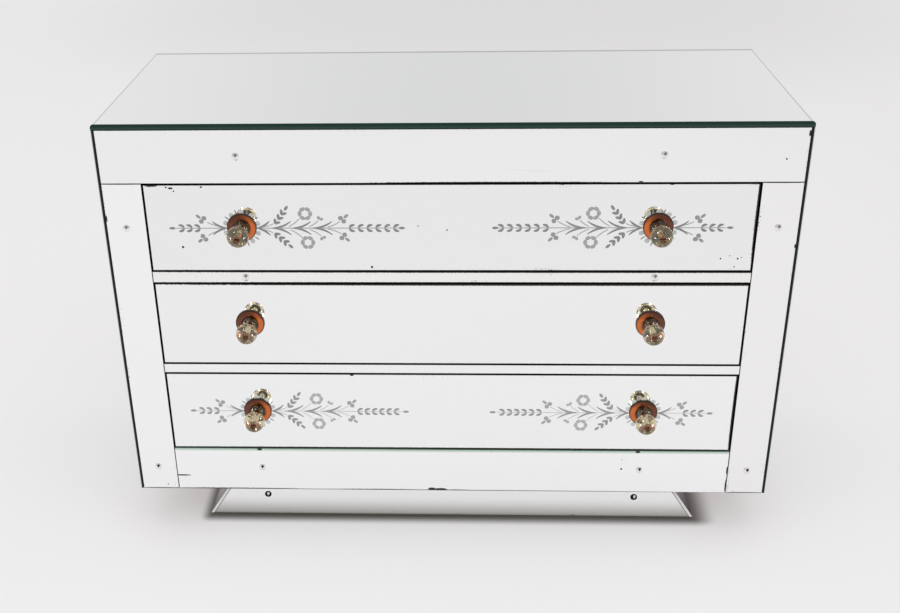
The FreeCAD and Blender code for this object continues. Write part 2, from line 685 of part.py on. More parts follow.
def chest():
    """Every piece of the chest under its node's name."""
    inner = both(OPENING_HALF - GLASS_JOINT)
    nodes = {
        "left_side_board": side_board(-1),
        "right_side_board": side_board(1),
        "top_board": level_board((BODY_TOP - TOP_BOARD, BODY_TOP), TOP_BACK_POINTS),
        "bottom_board": level_board((BODY_BOTTOM, BODY_BOTTOM + BOTTOM_BOARD), BOTTOM_BACK_POINTS),
        "back_panel": back_panel(),
        "left_stile": stile(-1),
        "right_stile": stile(1),
        "frieze_rail": rail("frieze", FRAME_THICKNESS, FRIEZE_POINTS),
        "upper_drawer_rail": rail("upper", RAIL_DEPTH, UPPER_RAIL_POINTS),
        "lower_drawer_rail": rail("lower", RAIL_DEPTH, []),
        "bottom_rail": rail("apron", FRAME_THICKNESS, APRON_POINTS),
        "drawer_runners": at_every_drawer(runner),
        "drawer_stops": at_every_drawer(stop),
        "drawer_kickers": Part.makeCompound([kicker(side) for side in (-1, 1)]),
        "top_mirror": top_mirror(),
        "left_side_mirror": side_mirror(-1),
        "right_side_mirror": side_mirror(1),
        "frieze_mirror": front_mirror(
            both(SIDE_OUTER - GLASS_JOINT), (FRIEZE_BOTTOM, BODY_TOP - GLASS_JOINT), FRIEZE_POINTS
        ),
        "left_stile_mirror": stile_mirror(-1),
        "right_stile_mirror": stile_mirror(1),
        "upper_rail_mirror": front_mirror(inner, RAIL_ZS["upper"], UPPER_RAIL_POINTS),
        "lower_rail_mirror": front_mirror(inner, RAIL_ZS["lower"], []),
        "apron_mirror": front_mirror(inner, RAIL_ZS["apron"], APRON_POINTS),
        "mirror_screws": mirror_screws(),
        "back_panel_screws": back_panel_screws(),
        "plinth_front_board": plinth_front_board(),
        "plinth_back_board": plinth_lengthwise(GLASS, (PLINTH_BETWEEN[1], PLINTH_BACK), PLINTH_ZS),
        "plinth_left_board": plinth_end(-1, GLASS, PLINTH_BOARD, PLINTH_BETWEEN, PLINTH_ZS),
        "plinth_right_board": plinth_end(1, GLASS, PLINTH_BOARD, PLINTH_BETWEEN, PLINTH_ZS),
        "plinth_glue_blocks": glue_blocks(),
        "plinth_front_mirror": plinth_front_mirror(),
        "plinth_left_mirror": plinth_end(-1, 0, GLASS, (PLINTH_FRONT, PLINTH_BACK), PLINTH_GLASS_ZS),
        "plinth_right_mirror": plinth_end(1, 0, GLASS, (PLINTH_FRONT, PLINTH_BACK), PLINTH_GLASS_ZS),
    }
    for level, name in enumerate(DRAWER_NAMES):
        for piece, shape in Drawer(level).nodes().items():
            nodes[f"{name}_drawer_{piece}"] = shape
    return nodes


os.makedirs("parts", exist_ok=True)
for node, shape in chest().items():
    shape.exportStep(f"parts/{node}.step")
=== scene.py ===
"""Looks of a mirror-clad chest of three drawers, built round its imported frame.

Metres, +Z up, and the front faces -Y. The frame's pieces keep their shape and place, and get their finish
here. The pieces made here are the engraved flower sprays of two drawers, and the turned glass of the knobs,
which needs a finer surface than the frame's.
"""
from __future__ import annotations

import logging
import math
from dataclasses import dataclass, field
from enum import Enum
from typing import Any, Iterator, Mapping, NamedTuple, Sequence, Union

import bpy
import numpy as np
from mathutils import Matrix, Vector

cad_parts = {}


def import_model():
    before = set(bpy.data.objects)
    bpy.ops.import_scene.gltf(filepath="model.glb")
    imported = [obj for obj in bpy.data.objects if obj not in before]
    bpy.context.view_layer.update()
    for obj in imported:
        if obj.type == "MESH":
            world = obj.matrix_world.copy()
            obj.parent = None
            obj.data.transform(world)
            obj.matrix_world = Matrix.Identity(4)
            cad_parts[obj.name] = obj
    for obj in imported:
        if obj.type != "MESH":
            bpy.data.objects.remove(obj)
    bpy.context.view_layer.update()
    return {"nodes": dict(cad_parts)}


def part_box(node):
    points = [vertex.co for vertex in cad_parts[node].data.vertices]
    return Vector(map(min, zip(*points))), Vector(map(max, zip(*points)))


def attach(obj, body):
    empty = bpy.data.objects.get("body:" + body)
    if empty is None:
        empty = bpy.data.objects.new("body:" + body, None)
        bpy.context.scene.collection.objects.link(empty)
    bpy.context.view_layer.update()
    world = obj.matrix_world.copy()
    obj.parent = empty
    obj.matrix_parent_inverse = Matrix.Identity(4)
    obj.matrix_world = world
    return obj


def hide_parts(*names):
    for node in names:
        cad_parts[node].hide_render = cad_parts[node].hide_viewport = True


LOG = logging.getLogger("chest")
MM = 0.001
# Average of a noise pattern
NOISE_MIDDLE = 0.5

Colour = tuple[float, float, float]
Place = tuple[float, float, float]
Nodes = Mapping[str, bpy.types.Object]


class Facing(Enum):
    """Way that a face of the chest looks, as its outward direction."""

    FORWARD = (0.0, -1.0, 0.0)
    REARWARD = (0.0, 1.0, 0.0)
    LEFT = (-1.0, 0.0, 0.0)
    RIGHT = (1.0, 0.0, 0.0)
    UP = (0.0, 0.0, 1.0)

    @property
    def plane(self) -> tuple[int, int]:
        """The two axes that lie in the face."""
        across, up = (axis for axis in range(3) if not self.value[axis])
        return across, up


class Axis(Enum):
    """Axis of the chest, which the grain of a board or a tint follows."""

    ACROSS = 0
    DEEP = 1
    UPRIGHT = 2


# Shader expressions


class Tint(NamedTuple):
    """Colour that comes in along an axis: none of it at one place, all of it at another."""

    axis: Axis
    clear: float
    full: float
    colour: Colour


class Value:
    """Number socket of a shader that takes part in Python expressions, each of which adds a Math node."""

    def __init__(self, graph: Graph, socket: bpy.types.NodeSocket) -> None:
        """Wraps a socket of a graph.

        Args:
            graph: Graph that holds the socket's node.
            socket: Output socket that carries a number.
        """
        self.graph = graph
        self.socket = socket

    def __add__(self, other: Number) -> Value:
        """Sum."""
        return self.graph.math("ADD", self, other)

    __radd__ = __add__

    def __sub__(self, other: Number) -> Value:
        """Difference."""
        return self.graph.math("SUBTRACT", self, other)

    def __rsub__(self, other: Number) -> Value:
        """Difference from a number."""
        return self.graph.math("SUBTRACT", other, self)

    def __mul__(self, other: Number) -> Value:
        """Product."""
        return self.graph.math("MULTIPLY", self, other)

    __rmul__ = __mul__

    def __truediv__(self, other: Number) -> Value:
        """Quotient."""
        return self.graph.math("DIVIDE", self, other)

    def __rtruediv__(self, other: Number) -> Value:
        """Quotient of a number by this value."""
        return self.graph.math("DIVIDE", other, self)

    def __pow__(self, other: Number) -> Value:
        """Power."""
        return self.graph.math("POWER", self, other)

    def __abs__(self) -> Value:
        """Size without sign."""
        return self.graph.math("ABSOLUTE", self)

    def __gt__(self, other: Number) -> Value:
        """One where this value is larger, and zero elsewhere."""
        return self.graph.math("GREATER_THAN", self, other)

    def least(self, other: Number) -> Value:
        """The smaller of two values."""
        return self.graph.math("MINIMUM", self, other)

    def most(self, other: Number) -> Value:
        """The larger of two values."""
        return self.graph.math("MAXIMUM", self, other)

    def rising(self, low: float, high: float) -> Value:
        """Smooth step from zero at a low value to one at a high one.

        Args:
            low: Value at which the step starts.
            high: Value at which the step ends.

        Returns:
            The step, held between zero and one.
        """
        sockets = {"Value": self, "From Min": low, "From Max": high}
        step = self.graph.node("MapRange", {"interpolation_type": "SMOOTHSTEP"}, sockets)
        return Value(self.graph, step.outputs[0])


Number = Union[Value, float]
Link = Union[bpy.types.NodeSocket, Colour]


def apart(first: Value, second: Value) -> Value:
    """Length of a step with two parts at right angles: the root of the sum of their squares."""
    return (first * first + second * second) ** 0.5


class Graph:
    """Nodes of one shader."""

    MIX_FACTOR, MIX_FIRST, MIX_SECOND, MIX_RESULT = 0, 6, 7, 2

    def __init__(self, tree: bpy.types.NodeTree) -> None:
        """Empties a node tree to fill it anew.

        Args:
            tree: Tree of a material or of the world.
        """
        self.tree = tree
        tree.nodes.clear()

    def node(
        self, kind: str, settings: Mapping[str, Any] | None = None, sockets: Mapping[Any, Any] | None = None
    ) -> bpy.types.Node:
        """Adds a node, sets it up, then fills its sockets.

        Args:
            kind: Type of the node without the shader prefix.
            settings: Properties of the node, which are set first.
            sockets: Values or links by the name or number of the input.

        Returns:
            The new node.
        """
        made = self.tree.nodes.new("ShaderNode" + kind)
        for name, value in (settings or {}).items():
            setattr(made, name, value)
        self.fill(made, sockets or {})
        return made

    def fill(self, node: bpy.types.Node, sockets: Mapping[Any, Any]) -> None:
        """Sets or links the inputs of a node.

        Args:
            node: Node to fill.
            sockets: Numbers, colours, values or sockets by the name or number of the input.
        """
        for key, value in sockets.items():
            target = node.inputs[key]
            source = value.socket if isinstance(value, Value) else value
            if isinstance(source, bpy.types.NodeSocket):
                self.tree.links.new(source, target)
            elif target.type == "RGBA":
                target.default_value = (*source, 1.0)
            else:
                target.default_value = source

    def math(self, operation: str, *operands: Number) -> Value:
        """Math node on numbers and values.

        Args:
            operation: Name of the operation.
            operands: Its one or two operands.

        Returns:
            The result.
        """
        return Value(self, self.node("Math", {"operation": operation}, dict(enumerate(operands))).outputs[0])

    def place(self) -> bpy.types.NodeSocket:
        """Object coordinates, in metres."""
        return self.node("TexCoord").outputs["Object"]

    def axes(self) -> tuple[Value, Value, Value]:
        """Object coordinates, one value for each axis."""
        parts = self.node("SeparateXYZ", None, {0: self.place()}).outputs
        return Value(self, parts[0]), Value(self, parts[1]), Value(self, parts[2])

    def looking(self, way: Place, normal: str = "True Normal") -> Value:
        """Share of the surface's direction that lies along a way.

        Args:
            way: Direction of length one.
            normal: Output that gives the direction, flat or smooth.

        Returns:
            The share.
        """
        sockets = {0: self.node("NewGeometry").outputs[normal], 1: way}
        return Value(self, self.node("VectorMath", {"operation": "DOT_PRODUCT"}, sockets).outputs["Value"])

    def noise(self, size: Union[float, Place], detail: float = 2.0, twist: float = 0.0) -> Value:
        """Cloudy pattern between zero and one.

        Args:
            size: Length of the clouds, or their lengths along the three axes.
            detail: Number of finer layers.
            twist: How far the pattern is pushed about by itself.

        Returns:
            The pattern's value, about a half on average.
        """
        lengths = size if isinstance(size, tuple) else (size, size, size)
        scale = tuple(1.0 / length for length in lengths)
        place = self.node("Mapping", None, {"Vector": self.place(), "Scale": scale}).outputs[0]
        sockets = {"Vector": place, "Scale": 1.0, "Detail": detail, "Distortion": twist}
        return Value(self, self.node("TexNoise", None, sockets).outputs[0])

    def attribute(self, name: str) -> Value:
        """Number that the mesh carries at each point under a name."""
        return Value(self, self.node("Attribute", {"attribute_name": name}).outputs["Fac"])

    def rays(self, *kinds: str) -> Value:
        """One for a ray of any of some kinds, and zero for the others."""
        paths = self.node("LightPath").outputs
        return sum(Value(self, paths[f"Is {kind} Ray"]) for kind in kinds).least(1.0)

    def blend(self, factor: Number, first: Link, second: Link) -> bpy.types.NodeSocket:
        """Mix of two colours.

        Args:
            factor: Zero for the first colour, one for the second.
            first: Colour or colour socket.
            second: Colour or colour socket.

        Returns:
            The mixed colour's socket.
        """
        sockets = {self.MIX_FACTOR: factor, self.MIX_FIRST: first, self.MIX_SECOND: second}
        return self.node("Mix", {"data_type": "RGBA"}, sockets).outputs[self.MIX_RESULT]

    def tinted(self, colour: Link, tints: Sequence[Tint]) -> Link:
        """Colour with tints over it.

        Args:
            colour: Colour or colour socket under the tints.
            tints: Tints in order.

        Returns:
            The colour, or the socket of the tinted one.
        """
        for tint in tints:
            share = self.axes()[tint.axis.value].rising(tint.clear, tint.full)
            colour = self.blend(share, colour, tint.colour)
        return colour

    def relief(self, height: Value, depth: float, strength: float = 1.0) -> bpy.types.NodeSocket:
        """Normal of a surface with a pattern raised on it.

        Args:
            height: Pattern from zero to one.
            depth: Height in metres where the pattern is one.
            strength: Share of the effect.

        Returns:
            The bumped normal's socket.
        """
        sockets = {"Height": height, "Distance": depth, "Strength": strength}
        return self.node("Bump", None, sockets).outputs[0]


# Finishes


@dataclass(frozen=True)
class Finish:
    """What all finishes share: a name, and a material made by painting a shader."""

    name: str

    def paint(self, graph: Graph) -> dict[str, Any]:
        """Works out the sockets of the Principled shader.

        Args:
            graph: Graph of the material.

        Returns:
            Values and links by the name of the socket.
        """
        raise NotImplementedError

    def surface(self, graph: Graph) -> bpy.types.NodeSocket:
        """Output of the shader."""
        return graph.node("BsdfPrincipled", None, self.paint(graph)).outputs[0]

    def material(self) -> bpy.types.Material:
        """Makes a material with this finish.

        Returns:
            The new material.
        """
        made = bpy.data.materials.new(self.name)
        made.use_nodes = True
        graph = Graph(made.node_tree)
        graph.node("OutputMaterial", None, {"Surface": self.surface(graph)})
        return made


class Spot(NamedTuple):
    """Dark place on the silver, as a middle and half sizes in the plane of the sheet: mostly silver that has
    come off, and in some long bands along the joints painted shade.
    """

    across: float
    up: float
    wide: float
    tall: float


def spots(*rows: tuple[float, float, float, float]) -> tuple[Spot, ...]:
    """Spots from rows in millimetres."""
    return tuple(Spot(*(part * MM for part in row)) for row in rows)


class Sheet(NamedTuple):
    """How one sheet of mirror looks: its facing, silver, wear, spots, tints, cut edges and rounded sides."""

    facing: Facing
    silver: Colour = (0.955, 0.958, 0.955)
    wear: float = 0.22
    spots: tuple[Spot, ...] = ()
    edge: Colour = (0.013, 0.018, 0.013)
    lit_edge: Colour = (0.013, 0.018, 0.013)
    round_over: float = 0.0
    tints: tuple[Tint, ...] = ()
    edge_tints: tuple[Tint, ...] = ()


@dataclass(frozen=True)
class MirrorFinish(Finish):
    """Old silvered sheet: bright face with foxing near its edges and spots, and dark cut edges."""

    sheet: Sheet
    low: Place
    high: Place
    wear_and_shade_colour: Colour = (0.035, 0.03, 0.026)
    ground: Colour = (0.5, 0.52, 0.51)
    face_limit: float = 0.75
    wear_depth: float = 0.009
    speck_size: float = 0.0022
    speck_detail: float = 3.0
    speck_range: tuple[float, float] = (0.74, 0.8)
    patch_size: float = 0.07
    patch_range: tuple[float, float] = (0.42, 0.7)
    rim_range: tuple[float, float] = (0.0001, 0.0004)
    rim_waver: float = 0.0006
    spot_range: tuple[float, float] = (0.75, 1.1)
    spot_waver: float = 0.9
    line_range: tuple[float, float] = (0.0004, 0.0016)
    wave_size: float = 0.16
    wave_height: float = 0.00006
    haze_detail: float = 4.0
    shine: float = 0.012
    dull: float = 0.4
    edge_roughness: float = 0.3
    edge_gloss: float = 0.1

    def margins(self, graph: Graph) -> tuple[Value, Value, Value, Value]:
        """Place on the sheet and its distance from the edges.

        Args:
            graph: Graph of the material.

        Returns:
            The place across and up the sheet, and the distances from the nearer side and the nearer end.
        """
        axes = graph.axes()
        first, second = self.sheet.facing.plane
        across, up = axes[first], axes[second]
        level = (across - self.low[first]).least(self.high[first] - across)
        upright = (up - self.low[second]).least(self.high[second] - up)
        return across, up, level, upright

    def silver_loss_and_shade(self, graph: Graph) -> Value:
        """Where the silver is gone, in specks that crowd to the edges in patches and a thin rim, and the
        spots, most of them gone silver and some painted shade along the joints.

        Args:
            graph: Graph of the material.

        Returns:
            One where it is gone or painted shade, and zero where it is whole.
        """
        across, up, level, upright = self.margins(graph)
        distance = level.least(upright)
        near = (1.0 - distance / self.wear_depth).most(0.0)
        patches = graph.noise(self.patch_size).rising(*self.patch_range)
        specks = graph.noise(self.speck_size, self.speck_detail)
        wear_and_shade = (specks + near * patches * self.sheet.wear).rising(*self.speck_range)
        ragged = specks - NOISE_MIDDLE
        wear_and_shade = wear_and_shade.most(1.0 - (distance + ragged * self.rim_waver).rising(*self.rim_range))
        for spot in self.sheet.spots:
            radius = apart((across - spot.across) / spot.wide, (up - spot.up) / spot.tall)
            wear_and_shade = wear_and_shade.most(1.0 - (radius + ragged * self.spot_waver).rising(*self.spot_range))
        return wear_and_shade

    def silver(self, graph: Graph) -> Link:
        """Tone of the silver, with its tints and a ground line where a rounded side starts.

        Args:
            graph: Graph of the material.

        Returns:
            The colour, or the socket of the tinted one.
        """
        tone = graph.tinted(self.sheet.silver, self.sheet.tints)
        if not self.sheet.round_over:
            return tone
        line = abs(self.margins(graph)[2] - self.sheet.round_over)
        return graph.blend(line.rising(*self.line_range), self.ground, tone)

    def paint(self, graph: Graph) -> dict[str, Any]:
        """Mirror on the face, glass on the cut edges, dull where the silver is gone and where spots paint
        shade.

        Args:
            graph: Graph of the material.

        Returns:
            Values and links by the name of the socket.
        """
        face = graph.looking(self.sheet.facing.value) > self.face_limit
        wear_and_shade = self.silver_loss_and_shade(graph)
        cut = graph.tinted(self.sheet.edge, self.sheet.edge_tints)
        # Cut edges that face up take the lit edge colour, which on the apron is painted light
        edge = graph.blend(graph.looking(Facing.UP.value) > self.face_limit, cut, self.sheet.lit_edge)
        silvered = graph.blend(wear_and_shade, self.silver(graph), self.wear_and_shade_colour)
        haze = graph.noise(self.patch_size, self.haze_detail) + NOISE_MIDDLE
        return {
            "Base Color": graph.blend(face, edge, silvered),
            "Metallic": face * (1.0 - wear_and_shade),
            "Roughness": face * (haze * self.shine + wear_and_shade * self.dull) + (1.0 - face) * self.edge_roughness,
            "Specular IOR Level": self.edge_gloss,
            "Normal": graph.relief(graph.noise(self.wave_size), self.wave_height),
        }


@dataclass(frozen=True)
class EngravedFinish(Finish):
    """Wheel-cut glass: grey where the cut is deep, paler where it is only frosted."""

    deep: Colour = (0.215, 0.22, 0.212)
    frosted: Colour = (0.5, 0.525, 0.515)
    unevenness: float = 0.25
    stroke_size: float = 0.004
    roughness: float = 0.55
    grit_size: float = 0.0006
    grit_height: float = 0.00004

    def paint(self, graph: Graph) -> dict[str, Any]:
        """Grey by the depth of the cut, with the uneven bite of the wheel.

        Args:
            graph: Graph of the material.

        Returns:
            Values and links by the name of the socket.
        """
        bite = (graph.noise(self.stroke_size) - NOISE_MIDDLE) * self.unevenness
        return {
            "Base Color": graph.blend(graph.attribute("cut") + bite, self.frosted, self.deep),
            "Roughness": self.roughness + bite,
            "Normal": graph.relief(graph.noise(self.grit_size), self.grit_height),
        }


@dataclass(frozen=True)
class AmberFinish(Finish):
    """Polished amber glass over silver, with painted light on one side, painted shade on the other, and
    painted shade at its rim and round its hub.
    """

    # Amber where the painted light falls, darker amber in the painted shade, and the dark of the painted
    # shade at rim and hub
    amber: Colour = (0.6, 0.145, 0.026)
    shaded_amber: Colour = (0.15, 0.04, 0.014)
    dark: Colour = (0.03, 0.012, 0.007)
    glow_range: tuple[float, float] = (0.25, 0.95)
    rim_range: tuple[float, float] = (0.9, 0.97)
    painted_hub_shade_range: tuple[float, float] = (0.72, 0.5)
    cloud_size: float = 0.012
    cloud_detail: float = 3.0
    cloud_twist: float = 0.4
    cloudiness: float = 0.5
    silvering: float = 0.9
    shine: float = 0.12
    coat: float = 0.5
    coat_shine: float = 0.03

    def paint(self, graph: Graph) -> dict[str, Any]:
        """Colour with painted light and shade from the numbers that the mesh carries, with clouds in it,
        under a clear surface.

        Args:
            graph: Graph of the material.

        Returns:
            Values and links by the name of the socket.
        """
        clouds = graph.noise(self.cloud_size, self.cloud_detail, self.cloud_twist) - NOISE_MIDDLE
        glow = (graph.attribute("glow") + clouds * self.cloudiness).rising(*self.glow_range)
        reach = graph.attribute("reach")
        # Painted shade at the rim and round the hub
        shade = reach.rising(*self.rim_range).most(reach.rising(*self.painted_hub_shade_range))
        return {
            "Base Color": graph.blend(shade, graph.blend(glow, self.shaded_amber, self.amber), self.dark),
            "Metallic": self.silvering,
            "Roughness": self.shine,
            "Coat Weight": self.coat,
            "Coat Roughness": self.coat_shine,
        }


@dataclass(frozen=True)
class ClearGlassFinish(Finish):
    """Old pressed glass, a little warm and cloudy, with painted shade near its foot where it meets the
    plate.
    """

    tint: Colour = (0.75, 0.65, 0.44)
    # Colour of the painted shade near the foot
    foot: Colour = (0.2, 0.12, 0.065)
    painted_foot_shade_range: tuple[float, float] = (0.42, 0.22)
    index: float = 1.5
    clearness: float = 0.93
    polish: float = 0.005
    ripple_size: float = 0.006
    ripple_height: float = 0.00003

    def paint(self, graph: Graph) -> dict[str, Any]:
        """Smooth glass with the slight ripple of the mould, darkened by painted shade close to the plate.

        Args:
            graph: Graph of the material.

        Returns:
            Values and links by the name of the socket.
        """
        foot_shade_share = graph.attribute("rise").rising(*self.painted_foot_shade_range)
        return {
            "Base Color": graph.blend(foot_shade_share, self.tint, self.foot),
            "Roughness": self.polish,
            "IOR": self.index,
            "Transmission Weight": self.clearness,
            "Normal": graph.relief(graph.noise(self.ripple_size), self.ripple_height),
        }


@dataclass(frozen=True)
class MetalFinish(Finish):
    """Metal with tarnish in clouds."""

    bright: Colour
    tarnish: Colour
    shine: float
    cover: float = 0.5
    cloud_size: float = 0.004
    cloud_detail: float = 4.0
    cloud_range: tuple[float, float] = (0.75, 1.0)
    dulling: float = 0.3
    grit_size: float = 0.0008
    grit_height: float = 0.00002
    tints: tuple[Tint, ...] = ()

    def paint(self, graph: Graph) -> dict[str, Any]:
        """Bright metal that dulls under the tarnish.

        Args:
            graph: Graph of the material.

        Returns:
            Values and links by the name of the socket.
        """
        low, high = (end - self.cover / 2.0 for end in self.cloud_range)
        clouds = graph.noise(self.cloud_size, self.cloud_detail).rising(low, high)
        return {
            "Base Color": graph.tinted(graph.blend(clouds, self.bright, self.tarnish), self.tints),
            "Metallic": 1.0,
            "Roughness": self.shine + clouds * self.dulling,
            "Normal": graph.relief(graph.noise(self.grit_size), self.grit_height),
        }


@dataclass(frozen=True)
class ScrewFinish(MetalFinish):
    """Domed screw heads with a painted reflection where they face a little upward."""

    # Colour of the painted reflection, with tints by height
    mark: Colour = (0.3, 0.28, 0.26)
    painted_reflection_tints: tuple[Tint, ...] = ()
    painted_reflection_way: Place = (0.09, -0.935, 0.343)
    mark_range: tuple[float, float] = (0.955, 0.98)

    def paint(self, graph: Graph) -> dict[str, Any]:
        """The metal with its painted reflection over it.

        Args:
            graph: Graph of the material.

        Returns:
            Values and links by the name of the socket.
        """
        sockets = super().paint(graph)
        marked = graph.looking(self.painted_reflection_way, "Normal").rising(*self.mark_range)
        mark = graph.tinted(self.mark, self.painted_reflection_tints)
        return {**sockets, "Base Color": graph.blend(marked, sockets["Base Color"], mark)}


@dataclass(frozen=True)
class WoodFinish(Finish):
    """Board with growth rings, pores and handling marks, left bare or stained but for one bare side."""

    grain: Axis
    pale: Colour = (0.42, 0.27, 0.14)
    dark: Colour = (0.23, 0.125, 0.055)
    stain: Colour | None = None
    bare: Facing | None = None
    ring_size: float = 0.009
    run: float = 0.35
    roughness: float = 0.55
    ring_detail: float = 3.0
    ring_twist: float = 0.35
    ring_range: tuple[float, float] = (0.3, 0.72)
    ring_share: float = 0.75
    pore_size: float = 0.0009
    pore_range: tuple[float, float] = (0.5, 0.72)
    pore_share: float = 0.35
    mark_size: float = 0.09
    mark_detail: float = 5.0
    mark_range: tuple[float, float] = (0.5, 0.8)
    mark_share: float = 0.25
    stain_share: float = 0.5
    stain_depth: float = 0.4
    bare_limit: float = 0.7
    dry: float = 0.2
    ring_height: float = 0.5
    relief_depth: float = 0.00025

    def stretched(self, size: float) -> Place:
        """Lengths of a pattern that is drawn out along the grain.

        Args:
            size: Width of the pattern across the grain.

        Returns:
            Its lengths along the three axes.
        """
        lengths = [size, size, size]
        lengths[self.grain.value] = self.run * (1.0 + size / self.ring_size)
        return tuple(lengths)

    def colour(self, graph: Graph, tone: Value) -> Link:
        """Colour of the wood, or of its stain with a bare side where there is one.

        Args:
            graph: Graph of the material.
            tone: Zero where the wood is pale, and one where it is dark.

        Returns:
            The colour's socket.
        """
        if not self.stain:
            return graph.blend(tone, self.pale, self.dark)
        deep = tuple(part * self.stain_depth for part in self.stain)
        stained = graph.blend(tone * self.stain_share, self.stain, deep)
        if not self.bare:
            return stained
        inside = graph.looking(self.bare.value) > self.bare_limit
        return graph.blend(inside, stained, graph.blend(tone, self.pale, self.dark))

    def paint(self, graph: Graph) -> dict[str, Any]:
        """Rings and pores between a pale and a dark tone, under a stain where there is one.

        Args:
            graph: Graph of the material.

        Returns:
            Values and links by the name of the socket.
        """
        rings = graph.noise(self.stretched(self.ring_size), self.ring_detail, self.ring_twist)
        pores = graph.noise(self.stretched(self.pore_size)).rising(*self.pore_range)
        marks = graph.noise(self.mark_size, self.mark_detail).rising(*self.mark_range) * self.mark_share
        ringed = rings.rising(*self.ring_range) * self.ring_share
        tone = (ringed + pores * self.pore_share + marks).least(1.0)
        return {
            "Base Color": self.colour(graph, tone),
            "Roughness": self.roughness + tone * self.dry,
            "Normal": graph.relief(rings * self.ring_height - pores, self.relief_depth),
        }


@dataclass
class Palette:
    """Materials made so far, by their finishes."""

    made: dict[Finish, bpy.types.Material] = field(default_factory=dict)

    def dress(self, piece: bpy.types.Object, finish: Finish) -> None:
        """Gives a piece its finish, in every material slot that it has.

        Args:
            piece: Piece of the frame or of this script.
            finish: Finish to give.
        """
        if finish not in self.made:
            self.made[finish] = finish.material()
        if not piece.material_slots:
            piece.data.materials.append(None)
        for slot in piece.material_slots:
            slot.material = self.made[finish]
        LOG.info("%s: %s", piece.name, finish.name)


# Surfaces


class Surface(NamedTuple):
    """Points of a surface and the faces between them."""

    points: np.ndarray
    quads: np.ndarray
    triangles: np.ndarray


def full_turn(count: int) -> np.ndarray:
    """Even angles all round, the first of them zero."""
    return np.linspace(0.0, 2.0 * np.pi, count, endpoint=False)


def closed_rings(rings: np.ndarray) -> Surface:
    """Surface through rings of points that close on themselves both ways, like a turned piece with a bore.

    Each quad joins two neighbours on a ring with the same two on the next ring, and the last ring with the
    first.

    Args:
        rings: Points of shape (rings, points on a ring, 3).

    Returns:
        The closed surface.
    """
    count, around = rings.shape[:2]
    index = np.arange(count * around).reshape(count, around)
    beside = np.roll(index, -1, axis=1)
    quads = np.stack([index, beside, np.roll(beside, -1, axis=0), np.roll(index, -1, axis=0)], axis=-1)
    return Surface(rings.reshape(-1, 3), quads.reshape(-1, 4), np.empty((0, 3), int))


def capped_tubes(rings: np.ndarray) -> Surface:
    """Surfaces through rings of points, each closed to a point at both ends.

    Quads join the rings of a tube, and triangles join its end rings to a pole in their middle.

    Args:
        rings: Points of shape (tubes, rings, points on a ring, 3).

    Returns:
        All tubes as one surface.
    """
    tubes, count, around = rings.shape[:3]
    poles = rings[:, [0, -1]].mean(axis=2)
    points = np.concatenate([rings.reshape(tubes, -1, 3), poles], axis=1)
    index = np.arange(count * around).reshape(count, around)
    beside = np.roll(index, -1, axis=1)
    quads = np.stack([index[:-1], index[1:], beside[1:], beside[:-1]], axis=-1).reshape(-1, 4)
    first = np.full(around, count * around)
    start = np.stack([first, index[0], beside[0]], axis=-1)
    end = np.stack([first + 1, beside[-1], index[-1]], axis=-1)
    shift = np.arange(tubes)[:, None, None] * points.shape[1]
    triangles = np.concatenate([start, end])
    return Surface(points.reshape(-1, 3), (quads + shift).reshape(-1, 4), (triangles + shift).reshape(-1, 3))


def joined(surfaces: Sequence[Surface]) -> Surface:
    """Several surfaces as one, with the faces counted on.

    Args:
        surfaces: Surfaces in order.

    Returns:
        The one surface.
    """
    counts = np.cumsum([0] + [len(surface.points) for surface in surfaces[:-1]])
    return Surface(
        np.concatenate([surface.points for surface in surfaces]),
        np.concatenate([surface.quads + count for surface, count in zip(surfaces, counts)]),
        np.concatenate([surface.triangles + count for surface, count in zip(surfaces, counts)]),
    )


def new_piece(name: str, surface: Surface, crease: float = math.radians(35.0)) -> bpy.types.Object:
    """Smoothly shaded mesh object at the origin with a surface in it.

    Args:
        name: Name of the piece.
        surface: Its points and faces.
        crease: Angle between faces past which an edge stays sharp.

    Returns:
        The object, linked to the scene.
    """
    mesh = bpy.data.meshes.new(name)
    mesh.from_pydata(surface.points, [], surface.quads.tolist() + surface.triangles.tolist())
    mesh.shade_smooth()
    mesh.set_sharp_from_angle(angle=crease)
    piece = bpy.data.objects.new(name, mesh)
    bpy.context.scene.collection.objects.link(piece)
    return piece


def note(piece: bpy.types.Object, **marks: np.ndarray) -> None:
    """Lets a piece carry numbers at its points, under names that its finish reads.

    Args:
        piece: Piece to mark.
        marks: One number for each point, by name.
    """
    for name, values in marks.items():
        piece.data.attributes.new(name, "FLOAT", "POINT").data.foreach_set("value", values)


# Engraved sprays


class Stroke(NamedTuple):
    """One cut of the engraver's wheel, in millimetres right and up from the middle of its spray."""

    root_x: float
    root_z: float
    tip_x: float
    tip_z: float
    width: float
    bend: float = 0.0
    skew: float = 1.0
    fullness: float = 1.0
    cut: float = 1.0

    def flipped(self, right: float, up: float) -> Stroke:
        """Mirror image of the stroke.

        Args:
            right: -1 to turn left and right round, or 1.
            up: -1 to turn up and down round, or 1.

        Returns:
            The image.
        """
        return self._replace(
            root_x=self.root_x * right,
            tip_x=self.tip_x * right,
            root_z=self.root_z * up,
            tip_z=self.tip_z * up,
            bend=self.bend * right * up,
        )


def leaf(x: float, z: float, heading: float, length: float, width: float, **form: float) -> Stroke:
    """Stroke from a root in a direction.

    Args:
        x: Root, right of the spray's middle.
        z: Root, above the spray's middle.
        heading: Direction in degrees from the right, turning up.
        length: Length of the stroke.
        width: Half of its largest width.
        form: Further fields of the stroke.

    Returns:
        The stroke.
    """
    turn = math.radians(heading)
    return Stroke(x, z, x + length * math.cos(turn), z + length * math.sin(turn), width, **form)


